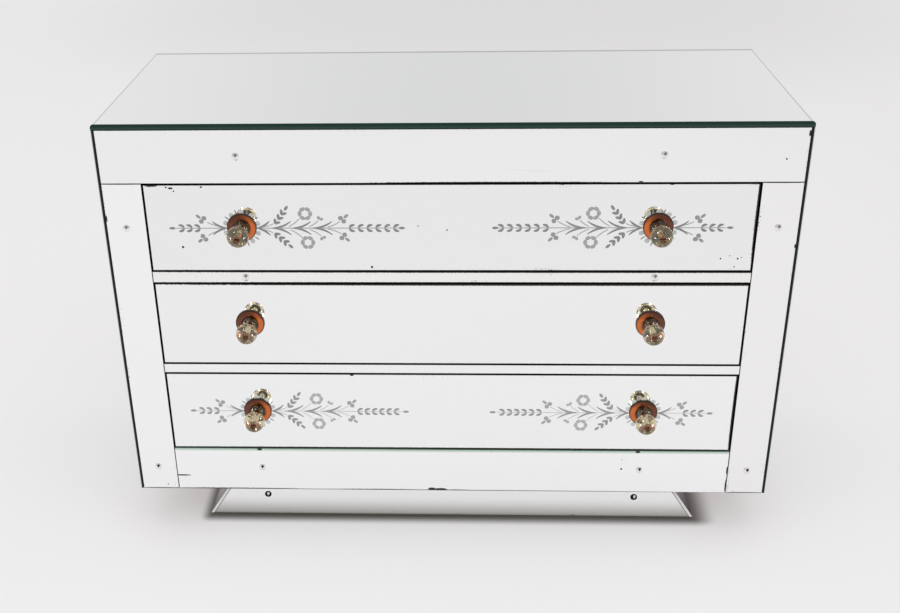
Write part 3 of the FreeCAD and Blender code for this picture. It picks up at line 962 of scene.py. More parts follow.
@dataclass(frozen=True)
class Spray:
    """Flower spray cut round a knob: a long tail of leaves to one side, a short one to the other.

    Places are millimetres from the spray's middle, which lies a drop under the knob's axis. The long tail
    runs to the right, and is turned round for the other knob.
    """

    drop: float = 1.6
    stem: tuple[float, float] = (-96.0, 225.5)
    stem_run_on: float = 0.1
    stem_width: float = 0.85
    stem_fullness: float = 0.12
    stem_cut: float = 0.5
    petals: int = 10
    petal_turn: float = 17.0
    petal_roots: float = 20.5
    petal_length: float = 8.2
    petal_width: float = 3.7
    petal_fullness: float = 0.5
    petal_cut: float = 0.0
    spike_roots: float = 21.0
    spike_length: float = 9.6
    spike_width: float = 1.0
    spike_fullness: float = 0.75
    spike_cut: float = 1.0
    blades: tuple[tuple[float, float, float], ...] = (
        (20.0, 42.0, 13.2),
        (39.0, 74.0, 13.0),
        (69.0, 102.5, 12.4),
        (97.5, 133.5, 12.8),
    )
    blade_width: float = 1.6
    blade_bend: float = 0.11
    blade_skew: float = 0.95
    short_blades: tuple[float, float, float] = (-20.0, -44.0, 12.4)
    tail_start: float = 155.0
    tail_step: float = 12.78
    tail_leaves: int = 6
    short_tail_start: float = -60.7
    short_tail_step: float = -11.5
    short_tail_leaves: int = 3
    leaf_root: float = -0.45
    leaf_length: float = 10.8
    leaf_heading: float = 27.0
    leaf_width: float = 2.1
    leaf_bend: float = -0.2
    leaf_skew: float = 1.0
    leaf_fullness: float = 0.75
    bud_length: float = 11.0
    bud_width: float = 2.1
    bud_fullness: float = 0.8
    sprigs: tuple[tuple[float, float, float, float, int], ...] = (
        (47.6, 5.6, 62.6, 26.6, 3),
        (46.3, -7.4, 65.4, -25.0, 3),
    )
    sprig_leaf: float = 10.2
    sprig_width: float = 2.2
    sprig_spread: float = 35.0
    sprig_bend: float = 0.1
    flowers: tuple[tuple[float, float], ...] = ((92.5, 22.3), (94.5, -22.6))
    flower_petals: int = 6
    flower_radius: float = 7.8
    flower_petal_width: float = 3.0
    flower_overlap: float = 1.18
    flower_bend: float = 0.14
    flower_fullness: float = 0.5
    flower_cut: float = 0.6
    trefoils: tuple[tuple[float, float, float], ...] = (
        (144.1, 11.6, 43.0),
        (144.6, -11.6, -40.0),
        (-54.6, 11.7, 140.0),
        (-54.6, -13.8, 217.0),
    )
    trefoil_gap: float = 5.0
    trefoil_tip: float = 9.6
    trefoil_tip_width: float = 2.2
    trefoil_tip_fullness: float = 0.6
    trefoil_spread: float = 58.0
    trefoil_petal: float = 7.8
    trefoil_width: float = 3.6
    trefoil_fullness: float = 0.5
    trefoil_cut: float = 0.8
    buds: tuple[tuple[float, float, float], ...] = ((112.5, 13.0, 60.0), (115.5, -13.6, -60.0))
    bud_spread: float = 45.0
    small_bud_length: float = 6.4
    small_bud_width: float = 2.3
    small_bud_fullness: float = 0.6
    small_bud_cut: float = 0.6
    stalk_bend: float = 0.06
    stalks: tuple[tuple[float, float, float, float], ...] = (
        (66.0, 1.5, 85.5, 16.5),
        (68.0, -1.5, 89.0, -17.5),
        (96.0, 1.5, 112.5, 13.0),
        (96.0, -1.5, 115.5, -13.4),
        (122.0, 1.0, 144.0, 11.6),
        (122.0, -1.0, 146.0, -10.4),
        (24.0, 1.5, 47.6, 7.5),
        (24.0, -1.5, 46.5, -8.0),
        (-22.0, 1.5, -52.5, 10.5),
        (-22.0, -1.5, -52.5, -13.0),
    )

    def sunburst(self) -> Iterator[Stroke]:
        """Round petals about the knob's plate with spikes between them.

        Returns:
            The petals and spikes in turn.
        """
        step = 360.0 / self.petals
        petal = {"fullness": self.petal_fullness, "cut": self.petal_cut}
        spike = {"fullness": self.spike_fullness, "cut": self.spike_cut}
        for turn in (self.petal_turn + step * index for index in range(self.petals)):
            yield self.ray(turn, self.petal_roots, self.petal_length, self.petal_width, **petal)
            yield self.ray(turn + step / 2.0, self.spike_roots, self.spike_length, self.spike_width, **spike)

    @staticmethod
    def ray(turn: float, root: float, length: float, width: float, **form: float) -> Stroke:
        """Stroke that points away from the spray's middle.

        Args:
            turn: Direction in degrees.
            root: Distance of its root from the middle.
            length: Length of the stroke.
            width: Half of its largest width.
            form: Further fields of the stroke.

        Returns:
            The stroke.
        """
        angle = math.radians(turn)
        return leaf(root * math.cos(angle), root * math.sin(angle), turn, length, width, **form)

    def pairs(self) -> Iterator[Stroke]:
        """Blades along the stem and the leaves of both tails, each of which gets an image below the stem.

        Returns:
            The blades, then the leaves.
        """
        for root, tip, reach in (*self.blades, self.short_blades):
            bend = math.copysign(self.blade_bend, tip - root)
            yield Stroke(root, 0.0, tip, reach, self.blade_width, bend, self.blade_skew, self.leaf_fullness)
        heading, bend = self.leaf_heading, self.leaf_bend
        tails = (
            (self.tail_start, self.tail_step, self.tail_leaves, heading, bend),
            (self.short_tail_start, self.short_tail_step, self.short_tail_leaves, 180.0 - heading, -bend),
        )
        for start, step, count, heading, bend in tails:
            form = {"bend": bend, "skew": self.leaf_skew, "fullness": self.leaf_fullness}
            for root in (start + step * index for index in range(count)):
                yield leaf(root, self.leaf_root, heading, self.leaf_length, self.leaf_width, **form)

    def sprig_strokes(self) -> Iterator[Stroke]:
        """Leafy side shoots: pairs of leaves along a line, with one leaf at its end.

        Returns:
            Their leaves.
        """
        size = (self.sprig_leaf, self.sprig_width)
        form = {"fullness": self.leaf_fullness}
        for x, z, end_x, end_z, count in self.sprigs:
            heading = math.degrees(math.atan2(end_z - z, end_x - x))
            for share in (index / count for index in range(count)):
                root = (x + (end_x - x) * share, z + (end_z - z) * share)
                for side in (-1.0, 1.0):
                    turn = heading + side * self.sprig_spread
                    yield leaf(*root, turn, *size, bend=side * self.sprig_bend, **form)
            yield leaf(end_x, end_z, heading, *size, **form)

    def ring_flowers(self) -> Iterator[Stroke]:
        """Open flowers, whose petals lie along a circle and overlap.

        Returns:
            Their petals.
        """
        half, radius = math.pi / self.flower_petals, self.flower_radius
        form = {"bend": self.flower_bend, "fullness": self.flower_fullness, "cut": self.flower_cut}
        for x, z in self.flowers:
            for index in range(self.flower_petals):
                ends = [half * (2.0 * index + side * self.flower_overlap) for side in (-1.0, 1.0)]
                corners = [(x + radius * math.cos(turn), z + radius * math.sin(turn)) for turn in ends]
                yield Stroke(*corners[0], *corners[1], self.flower_petal_width, **form)

    def small_heads(self) -> Iterator[Stroke]:
        """Three-petalled heads and pairs of small buds at the ends of the stalks.

        Returns:
            Their petals and buds.
        """
        tip_form = {"fullness": self.trefoil_tip_fullness, "cut": self.trefoil_cut}
        form = {"fullness": self.trefoil_fullness, "cut": self.trefoil_cut}
        for x, z, heading in self.trefoils:
            turn = math.radians(heading)
            tip = (x + self.trefoil_gap * math.cos(turn), z + self.trefoil_gap * math.sin(turn))
            yield leaf(*tip, heading, self.trefoil_tip, self.trefoil_tip_width, **tip_form)
            for side in (-self.trefoil_spread, self.trefoil_spread):
                yield leaf(x, z, heading + side, self.trefoil_petal, self.trefoil_width, **form)
        form = {"fullness": self.small_bud_fullness, "cut": self.small_bud_cut}
        for x, z, heading in self.buds:
            for side in (-self.bud_spread, self.bud_spread):
                yield leaf(x, z, heading + side, self.small_bud_length, self.small_bud_width, **form)

    def stem_strokes(self) -> Iterator[Stroke]:
        """Stem, stalks and the buds at both ends of the stem.

        The stem runs on past its ends by a share of its length, because a stroke is drawn only between its
        first and last stations.

        Returns:
            The stem, the stalks and the two buds.
        """
        low, high = self.stem
        form = {"fullness": self.stem_fullness, "cut": self.stem_cut}
        over = (high - low) * self.stem_run_on
        yield Stroke(low - over, 0.0, high + over, 0.0, self.stem_width, **form)
        for root_x, root_z, tip_x, tip_z in self.stalks:
            bend = math.copysign(self.stalk_bend, (tip_x - root_x) * tip_z)
            yield Stroke(root_x, root_z, tip_x, tip_z, self.stem_width, bend, **form)
        for root, heading in ((low, 180.0), (high, 0.0)):
            yield leaf(root, 0.0, heading, self.bud_length, self.bud_width, fullness=self.bud_fullness)

    def strokes(self, right: float) -> np.ndarray:
        """All strokes of one spray.

        Args:
            right: 1 where the long tail runs to the right, and -1 where it runs to the left.

        Returns:
            One row for each stroke.
        """
        rows = [stroke.flipped(1.0, up) for stroke in self.pairs() for up in (1.0, -1.0)]
        rows += [*self.sunburst(), *self.sprig_strokes(), *self.ring_flowers(), *self.small_heads()]
        rows += self.stem_strokes()
        return np.array([stroke.flipped(right, 1.0) for stroke in rows])


@dataclass(frozen=True)
class Wheel:
    """Form of a cut: how finely it is drawn, and how far it stands on the glass."""

    stations: int = 11
    around: int = 8
    crest: float = 0.16 * MM
    sunk: float = 0.2
    full_width: float = 3.5

    def cuts(self, strokes: np.ndarray, axis: Place) -> Surface:
        """Surfaces of many strokes at once.

        With s from 0 at the root to 1 at the tip, a stroke's middle line is the straight line plus a
        sideways bow of bend times length times 4 s (1 - s), and its half width w is width times
        sin(pi s^skew) to the power of fullness. Its section is a half ellipse, as high as crest times the
        root of w over the full width, on a flat underside that lies below the glass by the share of that
        height which is sunk. The stations lie evenly between the root and the tip, and the stroke is closed
        at the first and the last.

        Args:
            strokes: Rows of strokes in millimetres.
            axis: Point of the glass that the strokes are measured from.

        Returns:
            The cuts as one surface.
        """
        root_x, root_z, tip_x, tip_z, width, bend, skew, fullness, _ = strokes.T[:, :, None]
        share = np.linspace(0.0, 1.0, self.stations + 2)[1:-1]
        run_x, run_z = tip_x - root_x, tip_z - root_z
        bow, bow_slope = bend * 4.0 * share * (1.0 - share), bend * 4.0 * (1.0 - 2.0 * share)
        middle_x, middle_z = root_x + run_x * share + run_z * bow, root_z + run_z * share - run_x * bow
        along_x, along_z = run_x + run_z * bow_slope, run_z - run_x * bow_slope
        length = np.hypot(along_x, along_z)
        side_x, side_z = along_z / length, -along_x / length
        half = width * np.sin(np.pi * share ** skew) ** fullness
        turn = full_turn(self.around)
        sideways = half[:, :, None] * np.cos(turn)
        rise = self.crest * np.sqrt(half / self.full_width)
        height = rise[:, :, None] * np.maximum(np.sin(turn), -self.sunk)
        x = axis[0] + MM * (middle_x[:, :, None] + side_x[:, :, None] * sideways)
        z = axis[2] + MM * (middle_z[:, :, None] + side_z[:, :, None] * sideways)
        return capped_tubes(np.stack([x, axis[1] - height, z], axis=-1))

    def points_of_a_cut(self) -> int:
        """Number of points on the surface of one stroke."""
        return self.stations * self.around + 2


# Turned glass


def arc(centre: tuple[float, float], radius: float, start: float, end: float, count: int) -> np.ndarray:
    """Round stretch of a profile: centre plus radius times cosine and sine of an even sweep of angles.

    Args:
        centre: Middle of the circle, as (distance from the axis, distance along it).
        radius: Radius of the circle.
        start: First angle in degrees.
        end: Last angle in degrees.
        count: Number of points.

    Returns:
        Points of shape (count, 2).
    """
    turn = np.radians(np.linspace(start, end, count))
    return np.stack([centre[0] + radius * np.cos(turn), centre[1] + radius * np.sin(turn)], axis=-1)


def turned(profile: np.ndarray, axis: Place, around: int) -> Surface:
    """Profile carried round an axis that points forward from a place.

    A point at distance r from the axis and a along it lies at the place plus r (cos t, 0, sin t) minus a
    along Y, for t all round.

    Args:
        profile: Closed outline of (r, a) points, up the outside and back down the bore.
        axis: Place on the axis where a is zero.
        around: Points on a ring.

    Returns:
        The turned surface.
    """
    turn = full_turn(around)
    radius, along = profile[:, :1], profile[:, 1:]
    x, z = axis[0] + radius * np.cos(turn), axis[2] + radius * np.sin(turn)
    y = axis[1] - along + np.zeros_like(turn)
    return closed_rings(np.stack([x, y, z], axis=-1))


@dataclass(frozen=True)
class Knobs:
    """The two knobs of a drawer: domed amber plates, and clear glass with a ball, a waist and a foot."""

    drawer: str
    bore: float = 2.7 * MM
    rim: float = 2.2 * MM
    land: float = 12.3 * MM
    foot_radius: float = 11.5 * MM
    foot_length: float = 3.0 * MM
    neck_radius: float = 8.0 * MM
    ball_radius: float = 15.7 * MM
    face_radius: float = 7.5 * MM
    recess_radius: float = 5.0 * MM
    recess_depth: float = 7.0 * MM
    easing: float = 0.5 * MM
    seat: float = 0.1 * MM
    around: int = 96
    dome_points: int = 18
    foot_ease: tuple[float, float] = (-50.0, 0.0)
    foot_points: int = 5
    cove_points: int = 14
    ball_points: int = 60
    recess_points: int = 6
    # Turn of the painted light on the plates, in degrees below the level way to the chest's middle
    glow_turn: float = -20.0
    glass: ClearGlassFinish = ClearGlassFinish("clear_knob_glass")
    amber: AmberFinish = AmberFinish("amber_plate_glass")

    def axes(self) -> tuple[float, list[float], float]:
        """Measures the plates and the places of the knobs' axes.

        Returns:
            The radius, the two places across and the height.
        """
        low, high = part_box(f"{self.drawer}_knob_plates")
        radius = (high.z - low.z) / 2.0
        return radius, [low.x + radius, high.x - radius], (low.z + high.z) / 2.0

    def plate_profile(self, radius: float, thickness: float) -> np.ndarray:
        """Outline of a plate: an upright rim, a round dome that ends level at the land, and the bore.

        The dome's circle has its middle under the land's edge, and a radius of (run squared plus drop
        squared) over twice the drop.

        Args:
            radius: Outer radius.
            thickness: Height of the land over the mirror.

        Returns:
            Closed outline of (r, a) points.
        """
        run, drop = radius - self.land, thickness - self.rim
        ball = (run ** 2 + drop ** 2) / (2.0 * drop)
        start = math.degrees(math.acos(run / ball))
        dome = arc((self.land, thickness - ball), ball, start, 90.0, self.dome_points)
        flat = np.array([[self.bore, thickness], [self.bore, 0.0], [radius - self.easing, 0.0]])
        return np.concatenate([[[radius, self.easing]], dome, flat])

    def glass_profile(self, length: float) -> np.ndarray:
        """Outline of a knob: foot, hollow waist, neck, ball, flat face, recess and bore, with eased corners.

        Args:
            length: Length of the knob from its foot to its face.

        Returns:
            Closed outline of (r, a) points.
        """
        cove = self.foot_radius - self.neck_radius
        middle = length - math.sqrt(self.ball_radius ** 2 - self.face_radius ** 2)
        start = -math.degrees(math.acos(self.neck_radius / self.ball_radius))
        end = math.degrees(math.acos(self.face_radius / self.ball_radius))
        ease = self.easing
        floor = length - self.recess_depth
        return np.concatenate([
            [[self.foot_radius - ease, self.seat]],
            arc((self.foot_radius - ease, ease), ease, *self.foot_ease, self.foot_points),
            arc((self.foot_radius, self.foot_length + cove), cove, 270.0, 180.0, self.cove_points),
            arc((0.0, middle), self.ball_radius, start, end, self.ball_points),
            arc((self.recess_radius + ease, length - ease), ease, 90.0, 180.0, self.recess_points),
            [[self.recess_radius, floor], [self.bore, floor], [self.bore, self.seat]],
        ])

    def mark(self, piece: bpy.types.Object, profile: np.ndarray, across: Sequence[float]) -> None:
        """Notes each point's reach from the axis, its rise from the foot and its share of painted light.

        The reach is the point's distance from the axis over the largest one, and the rise its distance along
        the axis over the largest one. The share of painted light is a half plus half the cosine of the angle
        from a direction a little below the level way to the chest's middle.

        Args:
            piece: Turned piece of both knobs.
            profile: Its outline of (r, a) points.
            across: Places of the axes across the chest.
        """
        turn = full_turn(self.around)
        shares = (profile / profile.max(axis=0)).repeat(self.around, axis=0)
        reach, rise = np.tile(shares, (len(across), 1)).T
        towards = np.where(np.array(across) < 0.0, self.glow_turn, 180.0 - self.glow_turn)
        glow = 0.5 + np.cos(turn - np.radians(towards)[:, None]) / 2.0
        note(piece, reach=reach, rise=rise, glow=np.tile(glow[:, None], (1, len(profile), 1)).ravel())

    def build(self, palette: Palette) -> None:
        """Makes the plates and the glass, and puts them in the place of the frame's.

        Args:
            palette: Palette that holds the materials.
        """
        radius, across, height = self.axes()
        low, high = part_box(f"{self.drawer}_knob_plates")
        plate = self.plate_profile(radius, high.y - low.y)
        glass_low, glass_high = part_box(f"{self.drawer}_knob_glasses")
        glass = self.glass_profile(glass_high.y - glass_low.y)
        parts = (
            ("plates", "amber_glass", self.amber, plate, high.y),
            ("glasses", "clear_glass", self.glass, glass, glass_high.y),
        )
        for part, slot, finish, profile, start in parts:
            surface = joined([turned(profile, (x, start, height), self.around) for x in across])
            piece = new_piece(f"{self.drawer}_turned_{part}", surface)
            self.mark(piece, profile, across)
            palette.dress(piece, finish)
            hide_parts(f"{self.drawer}_knob_{part}")
            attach(piece, self.drawer)


# Sub-assemblies


@dataclass(frozen=True)
class Woods:
    """Boards of the chest by the way that they are finished, with pairs of a pale and a dark tone."""

    carcase: Colour = (0.36, 0.22, 0.11)
    black: Colour = (0.012, 0.011, 0.01)
    black_roughness: float = 0.45
    grey: Colour = (0.14, 0.137, 0.11)
    grey_roughness: float = 0.6
    drawer_tones: tuple[Colour, Colour] = ((0.58, 0.43, 0.25), (0.4, 0.26, 0.125))
    front_tones: tuple[Colour, Colour] = ((0.5, 0.34, 0.19), (0.33, 0.19, 0.09))
    plywood_tones: tuple[Colour, Colour] = ((0.5, 0.34, 0.18), (0.36, 0.22, 0.1))
    plywood_rings: float = 0.03
    plywood_run: float = 0.6
    plywood_roughness: float = 0.65

    def bare(self, grain: Axis) -> WoodFinish:
        """Bare carcase wood with its grain along an axis."""
        return WoodFinish(f"carcase_wood_{grain.name.lower()}", grain, self.carcase)

    def ebonised(self, grain: Axis) -> WoodFinish:
        """Blackened wood that shows in the joints between the mirrors."""
        name = f"ebonised_wood_{grain.name.lower()}"
        return WoodFinish(name, grain, stain=self.black, roughness=self.black_roughness)

    def greyed(self) -> WoodFinish:
        """Blackened wood, greyer than the other blackened boards."""
        return WoodFinish("greyed_black_wood", Axis.ACROSS, stain=self.grey, roughness=self.grey_roughness)

    def drawer(self, grain: Axis) -> WoodFinish:
        """Pale drawer wood with its grain along an axis."""
        return WoodFinish(f"drawer_wood_{grain.name.lower()}", grain, *self.drawer_tones)

    def drawer_front(self) -> WoodFinish:
        """Drawer front that is blackened but for its inner side."""
        return WoodFinish("drawer_front_wood", Axis.ACROSS, *self.front_tones, self.black, Facing.REARWARD)

    def plywood(self) -> WoodFinish:
        """Thin aged plywood, with wide rings from the peeled log.

        Returns:
            The finish.
        """
        grain = {"ring_size": self.plywood_rings, "run": self.plywood_run}
        form = {**grain, "roughness": self.plywood_roughness}
        return WoodFinish("aged_plywood", Axis.ACROSS, *self.plywood_tones, **form)


WOODS = Woods()
# Heights between which the low and the lowest screws take on their own tints
LOW_SCREWS = (0.16, 0.14)
PLINTH_SCREWS = (0.077, 0.073)
CHROME = ScrewFinish(
    "screw_metal",
    (0.9, 0.9, 0.89),
    (0.35, 0.33, 0.31),
    0.12,
    cover=0.32,
    tints=(Tint(Axis.UPRIGHT, *PLINTH_SCREWS, (0.018, 0.018, 0.018)),),
    # Painted reflection: black on the apron's screws, and a pale painted glint on the plinth's
    painted_reflection_tints=(
        Tint(Axis.UPRIGHT, *LOW_SCREWS, (0.012, 0.012, 0.012)),
        Tint(Axis.UPRIGHT, *PLINTH_SCREWS, (0.85, 0.85, 0.83)),
    ),
)
STEEL = MetalFinish("dull_steel", (0.42, 0.41, 0.4), (0.13, 0.1, 0.08), 0.35)
BRASS = MetalFinish("knob_brass", (0.24, 0.09, 0.05), (0.1, 0.04, 0.025), 0.35, cover=0.6)


@dataclass(frozen=True)
class Carcase:
    """Boards, face frame, plinth and fastenings that stay in place."""

    finishes: tuple[tuple[Finish, tuple[str, ...]], ...] = (
        (WOODS.bare(Axis.UPRIGHT), ("left_side_board", "right_side_board", "plinth_glue_blocks")),
        (WOODS.bare(Axis.ACROSS), ("top_board", "bottom_board", "drawer_stops")),
        (WOODS.bare(Axis.DEEP), ("drawer_runners", "drawer_kickers")),
        (WOODS.ebonised(Axis.UPRIGHT), ("left_stile", "right_stile")),
        (WOODS.ebonised(Axis.ACROSS), ("frieze_rail", "upper_drawer_rail", "lower_drawer_rail")),
        (WOODS.ebonised(Axis.ACROSS), ("bottom_rail", "plinth_back_board")),
        (WOODS.ebonised(Axis.DEEP), ("plinth_left_board", "plinth_right_board")),
        (WOODS.greyed(), ("plinth_front_board",)),
        (WOODS.plywood(), ("back_panel",)),
        (STEEL, ("back_panel_screws",)),
        (CHROME, ("mirror_screws",)),
    )

    def dress(self, nodes: Nodes, palette: Palette) -> None:
        """Gives the boards and fastenings their finishes.

        Args:
            nodes: The frame's pieces by name.
            palette: Palette that holds the materials.
        """
        for finish, names in self.finishes:
            for name in names:
                palette.dress(nodes[name], finish)


def dress_sheet(piece: bpy.types.Object, name: str, sheet: Sheet, palette: Palette) -> None:
    """Gives a sheet of mirror its finish.

    Args:
        piece: The frame's piece.
        name: Its node's name.
        sheet: How it looks.
        palette: Palette that holds the materials.
    """
    low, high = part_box(name)
    palette.dress(piece, MirrorFinish(f"{name}_silver", sheet, tuple(low), tuple(high)))


# Looks that several sheets share
SIDE_SILVER = (0.88, 0.89, 0.885)
# Painted highlight on the outer arris of the side mirrors' front edges
PAINTED_ARRIS_HIGHLIGHT = (0.6, 0.63, 0.61)
# Pale cut edges of the plinth's sheets: the pale of a ground edge, with painted light on it
GREY_EDGE = (0.76, 0.745, 0.745)
# Painted shade towards the front of the plinth's side mirrors
PAINTED_FRONT_SHADE = (Tint(Axis.DEEP, -0.1, -0.136, (0.07, 0.06, 0.063)),)


@dataclass(frozen=True)
class Cladding:
    """Sheets of mirror on the carcase and the plinth."""

    sheets: Mapping[str, Sheet] = field(
        default_factory=lambda: {
            "top_mirror": Sheet(
                Facing.UP,
                (0.942, 0.939, 0.941),
                0.12,
                edge=(0.009, 0.032, 0.024),
                round_over=5.6 * MM,
                tints=(Tint(Axis.DEEP, 0.208, 0.211, (0.5, 0.525, 0.515)),),
                edge_tints=(Tint(Axis.UPRIGHT, 0.6855, 0.6815, (0.025, 0.052, 0.041)),),
            ),
            "left_side_mirror": Sheet(
                Facing.LEFT, SIDE_SILVER, edge_tints=(Tint(Axis.ACROSS, -0.4985, -0.4993, PAINTED_ARRIS_HIGHLIGHT),)
            ),
            "right_side_mirror": Sheet(
                Facing.RIGHT, SIDE_SILVER, edge_tints=(Tint(Axis.ACROSS, 0.4985, 0.4993, PAINTED_ARRIS_HIGHLIGHT),)
            ),
            "frieze_mirror": Sheet(
                Facing.FORWARD,
                (0.945, 0.946, 0.945),
                wear=0.16,
                spots=spots(
                    (466.6, 634.1, 1.4, 1.4), (493.8, 671.0, 1.8, 5.0), (60.0, 600.5, 190.0, 1.5),
                    (269.0, 601.6, 4.0, 0.9),
                ),
            ),
            "left_stile_mirror": Sheet(
                Facing.FORWARD,
                (0.98, 0.982, 0.982),
                spots=spots(
                    (-466.0, 599.6, 40.0, 0.8), (-466.0, 76.0, 45.0, 1.7), (-494.0, 547.0, 1.0, 6.0),
                    (-455.0, 84.0, 1.1, 1.3),
                ),
            ),
            "right_stile_mirror": Sheet(
                Facing.FORWARD,
                (0.945, 0.942, 0.944),
                spots=spots(
                    (466.0, 599.6, 40.0, 0.8), (466.0, 76.0, 45.0, 1.5), (494.0, 503.0, 1.2, 4.0),
                ),
            ),
            "upper_rail_mirror": Sheet(
                Facing.FORWARD,
                (0.935, 0.93, 0.905),
                # The two long bands along its top and bottom edges are painted shade from the joints beside
                # it
                spots=spots((200.0, 462.0, 700.0, 1.5), (200.0, 445.0, 700.0, 0.9)),
            ),
            "lower_rail_mirror": Sheet(Facing.FORWARD, wear=0.1),
            "apron_mirror": Sheet(
                Facing.FORWARD,
                (0.985, 0.988, 0.987),
                wear=0.16,
                spots=spots(
                    (-429.6, 101.7, 15.0, 1.4), (-28.0, 78.2, 7.0, 3.4), (-14.0, 77.8, 11.0, 2.8),
                    (12.0, 76.2, 30.0, 1.7), (-340.0, 76.0, 130.0, 2.1), (-120.0, 76.0, 90.0, 1.9),
                    (0.0, 76.0, 480.0, 1.3), (-301.0, 152.0, 4.0, 2.6), (295.0, 152.0, 4.0, 2.6),
                    (436.4, 118.0, 1.3, 8.0), (436.6, 90.0, 1.1, 14.0), (271.0, 119.6, 1.8, 1.8),
                    (271.0, 137.0, 0.8, 0.8),
                ),
                # Its upward cut edge and a pale green strip along the top of its face: the green of a
                # polished edge, with painted light from above
                lit_edge=(0.1, 0.15, 0.11),
                tints=(Tint(Axis.UPRIGHT, 0.147, 0.153, (0.44, 0.6, 0.5)),),
            ),
            "plinth_front_mirror": Sheet(
                Facing.FORWARD,
                wear=0.2,
                edge=GREY_EDGE,
                # Darker towards the floor, and darkest in the lowest strip: painted shade, for the floor's
                # shadow that the sheet reflects
                tints=(
                    Tint(Axis.UPRIGHT, 0.044, 0.0, (0.42, 0.417, 0.39)),
                    Tint(Axis.UPRIGHT, 0.012, 0.007, (0.4, 0.38, 0.35)),
                ),
            ),
            # The plinth's side mirrors have a dark mauve silver: painted shade, for the shadow under the
            # chest that they reflect
            "plinth_left_mirror": Sheet(
                Facing.LEFT, (0.46, 0.39, 0.405), edge=GREY_EDGE, tints=PAINTED_FRONT_SHADE
            ),
            "plinth_right_mirror": Sheet(
                Facing.RIGHT, (0.32, 0.275, 0.275), edge=GREY_EDGE, tints=PAINTED_FRONT_SHADE
            ),
        }
    )

    def dress(self, nodes: Nodes, palette: Palette) -> None:
        """Gives every sheet its finish.

        Args:
            nodes: The frame's pieces by name.
            palette: Palette that holds the materials.
        """
        for name, sheet in self.sheets.items():
            dress_sheet(nodes[name], name, sheet, palette)


@dataclass(frozen=True)
class Drawer:
    """One drawer: boards, mirror, knobs and, on two of the three, engraved sprays."""

    name: str
    sheet: Sheet
    engraved: bool
    spray: Spray = Spray()
    wheel: Wheel = Wheel()
    cut_finish: EngravedFinish = EngravedFinish("engraved_glass")

    def dress(self, nodes: Nodes, palette: Palette) -> None:
        """Gives the boards, the mirror and the bolts their finishes.

        Args:
            nodes: The frame's pieces by name.
            palette: Palette that holds the materials.
        """
        boards = {
            "front": WOODS.drawer_front(),
            "left_side": WOODS.drawer(Axis.DEEP),
            "right_side": WOODS.drawer(Axis.DEEP),
            "back": WOODS.drawer(Axis.ACROSS),
            "bottom": WOODS.plywood(),
            "knob_bolts": BRASS,
        }
        for piece, finish in boards.items():
            palette.dress(nodes[f"{self.name}_{piece}"], finish)
        mirror = f"{self.name}_mirror"
        dress_sheet(nodes[mirror], mirror, self.sheet, palette)

    def engrave(self, knobs: Knobs, palette: Palette) -> None:
        """Cuts a spray round each knob, with the long tails towards the middle.

        Args:
            knobs: The drawer's knobs.
            palette: Palette that holds the materials.
        """
        _, across, height = knobs.axes()
        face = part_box(f"{self.name}_mirror")[0].y
        sprays = [self.spray.strokes(math.copysign(1.0, -x)) for x in across]
        height -= self.spray.drop * MM
        cuts = [self.wheel.cuts(rows, (x, face, height)) for rows, x in zip(sprays, across)]
        piece = new_piece(f"{self.name}_engraved_sprays", joined(cuts))
        note(piece, cut=np.concatenate(sprays)[:, -1].repeat(self.wheel.points_of_a_cut()))
        palette.dress(piece, self.cut_finish)
        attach(piece, self.name)

    def build(self, nodes: Nodes, palette: Palette) -> None:
        """Dresses the frame's pieces and makes the knobs and the sprays.

        Args:
            nodes: The frame's pieces by name.
            palette: Palette that holds the materials.
        """
        self.dress(nodes, palette)
        knobs = Knobs(self.name)
        knobs.build(palette)
        if self.engraved:
            self.engrave(knobs, palette)


SHALLOW_CUT = EngravedFinish("shallow_engraved_glass", (0.285, 0.29, 0.282), (0.57, 0.595, 0.585))
DRAWERS = (
    Drawer(
        "lower_drawer",
        Sheet(
            Facing.FORWARD,
            (0.948, 0.963, 0.955),
            0.12,
            spots((60.0, 156.5, 520.0, 1.2), (434.5, 225.0, 1.6, 90.0), (-149.0, 288.4, 3.0, 2.0)),
        ),
        True,
        Spray(stem_width=0.55, tail_start=155.6, tail_step=11.34),
        cut_finish=SHALLOW_CUT,
    ),
    Drawer(
        "middle_drawer",
        # Its long band along the top edge is painted shade under the joint above
        Sheet(Facing.FORWARD, (0.943, 0.946, 0.943), 0.12, spots((150.0, 442.0, 650.0, 2.4))),
        False,
    ),
    Drawer(
        "upper_drawer",
        Sheet(
            Facing.FORWARD,
            (0.912, 0.916, 0.912),
            spots=spots(
                (-424.0, 597.5, 10.0, 2.4), (313.0, 597.4, 4.0, 1.1), (434.8, 560.0, 1.9, 90.0),
                (-387.2, 502.0, 2.1, 2.1), (-111.8, 470.1, 1.9, 2.1), (-2.0, 528.5, 1.1, 1.3),
                (-43.6, 534.7, 1.1, 1.1), (-396.0, 593.2, 3.6, 1.7), (-402.5, 594.6, 1.6, 1.3),
                (-392.0, 588.8, 1.3, 1.3), (-352.0, 594.9, 1.7, 1.6), (390.7, 483.4, 1.2, 1.4),
                (403.5, 487.9, 0.9, 0.9), (415.1, 483.5, 1.4, 1.6), (420.4, 485.4, 0.9, 1.1),
                (411.4, 470.5, 1.2, 1.1),
            ),
        ),
        True,
    ),
)


# Studio


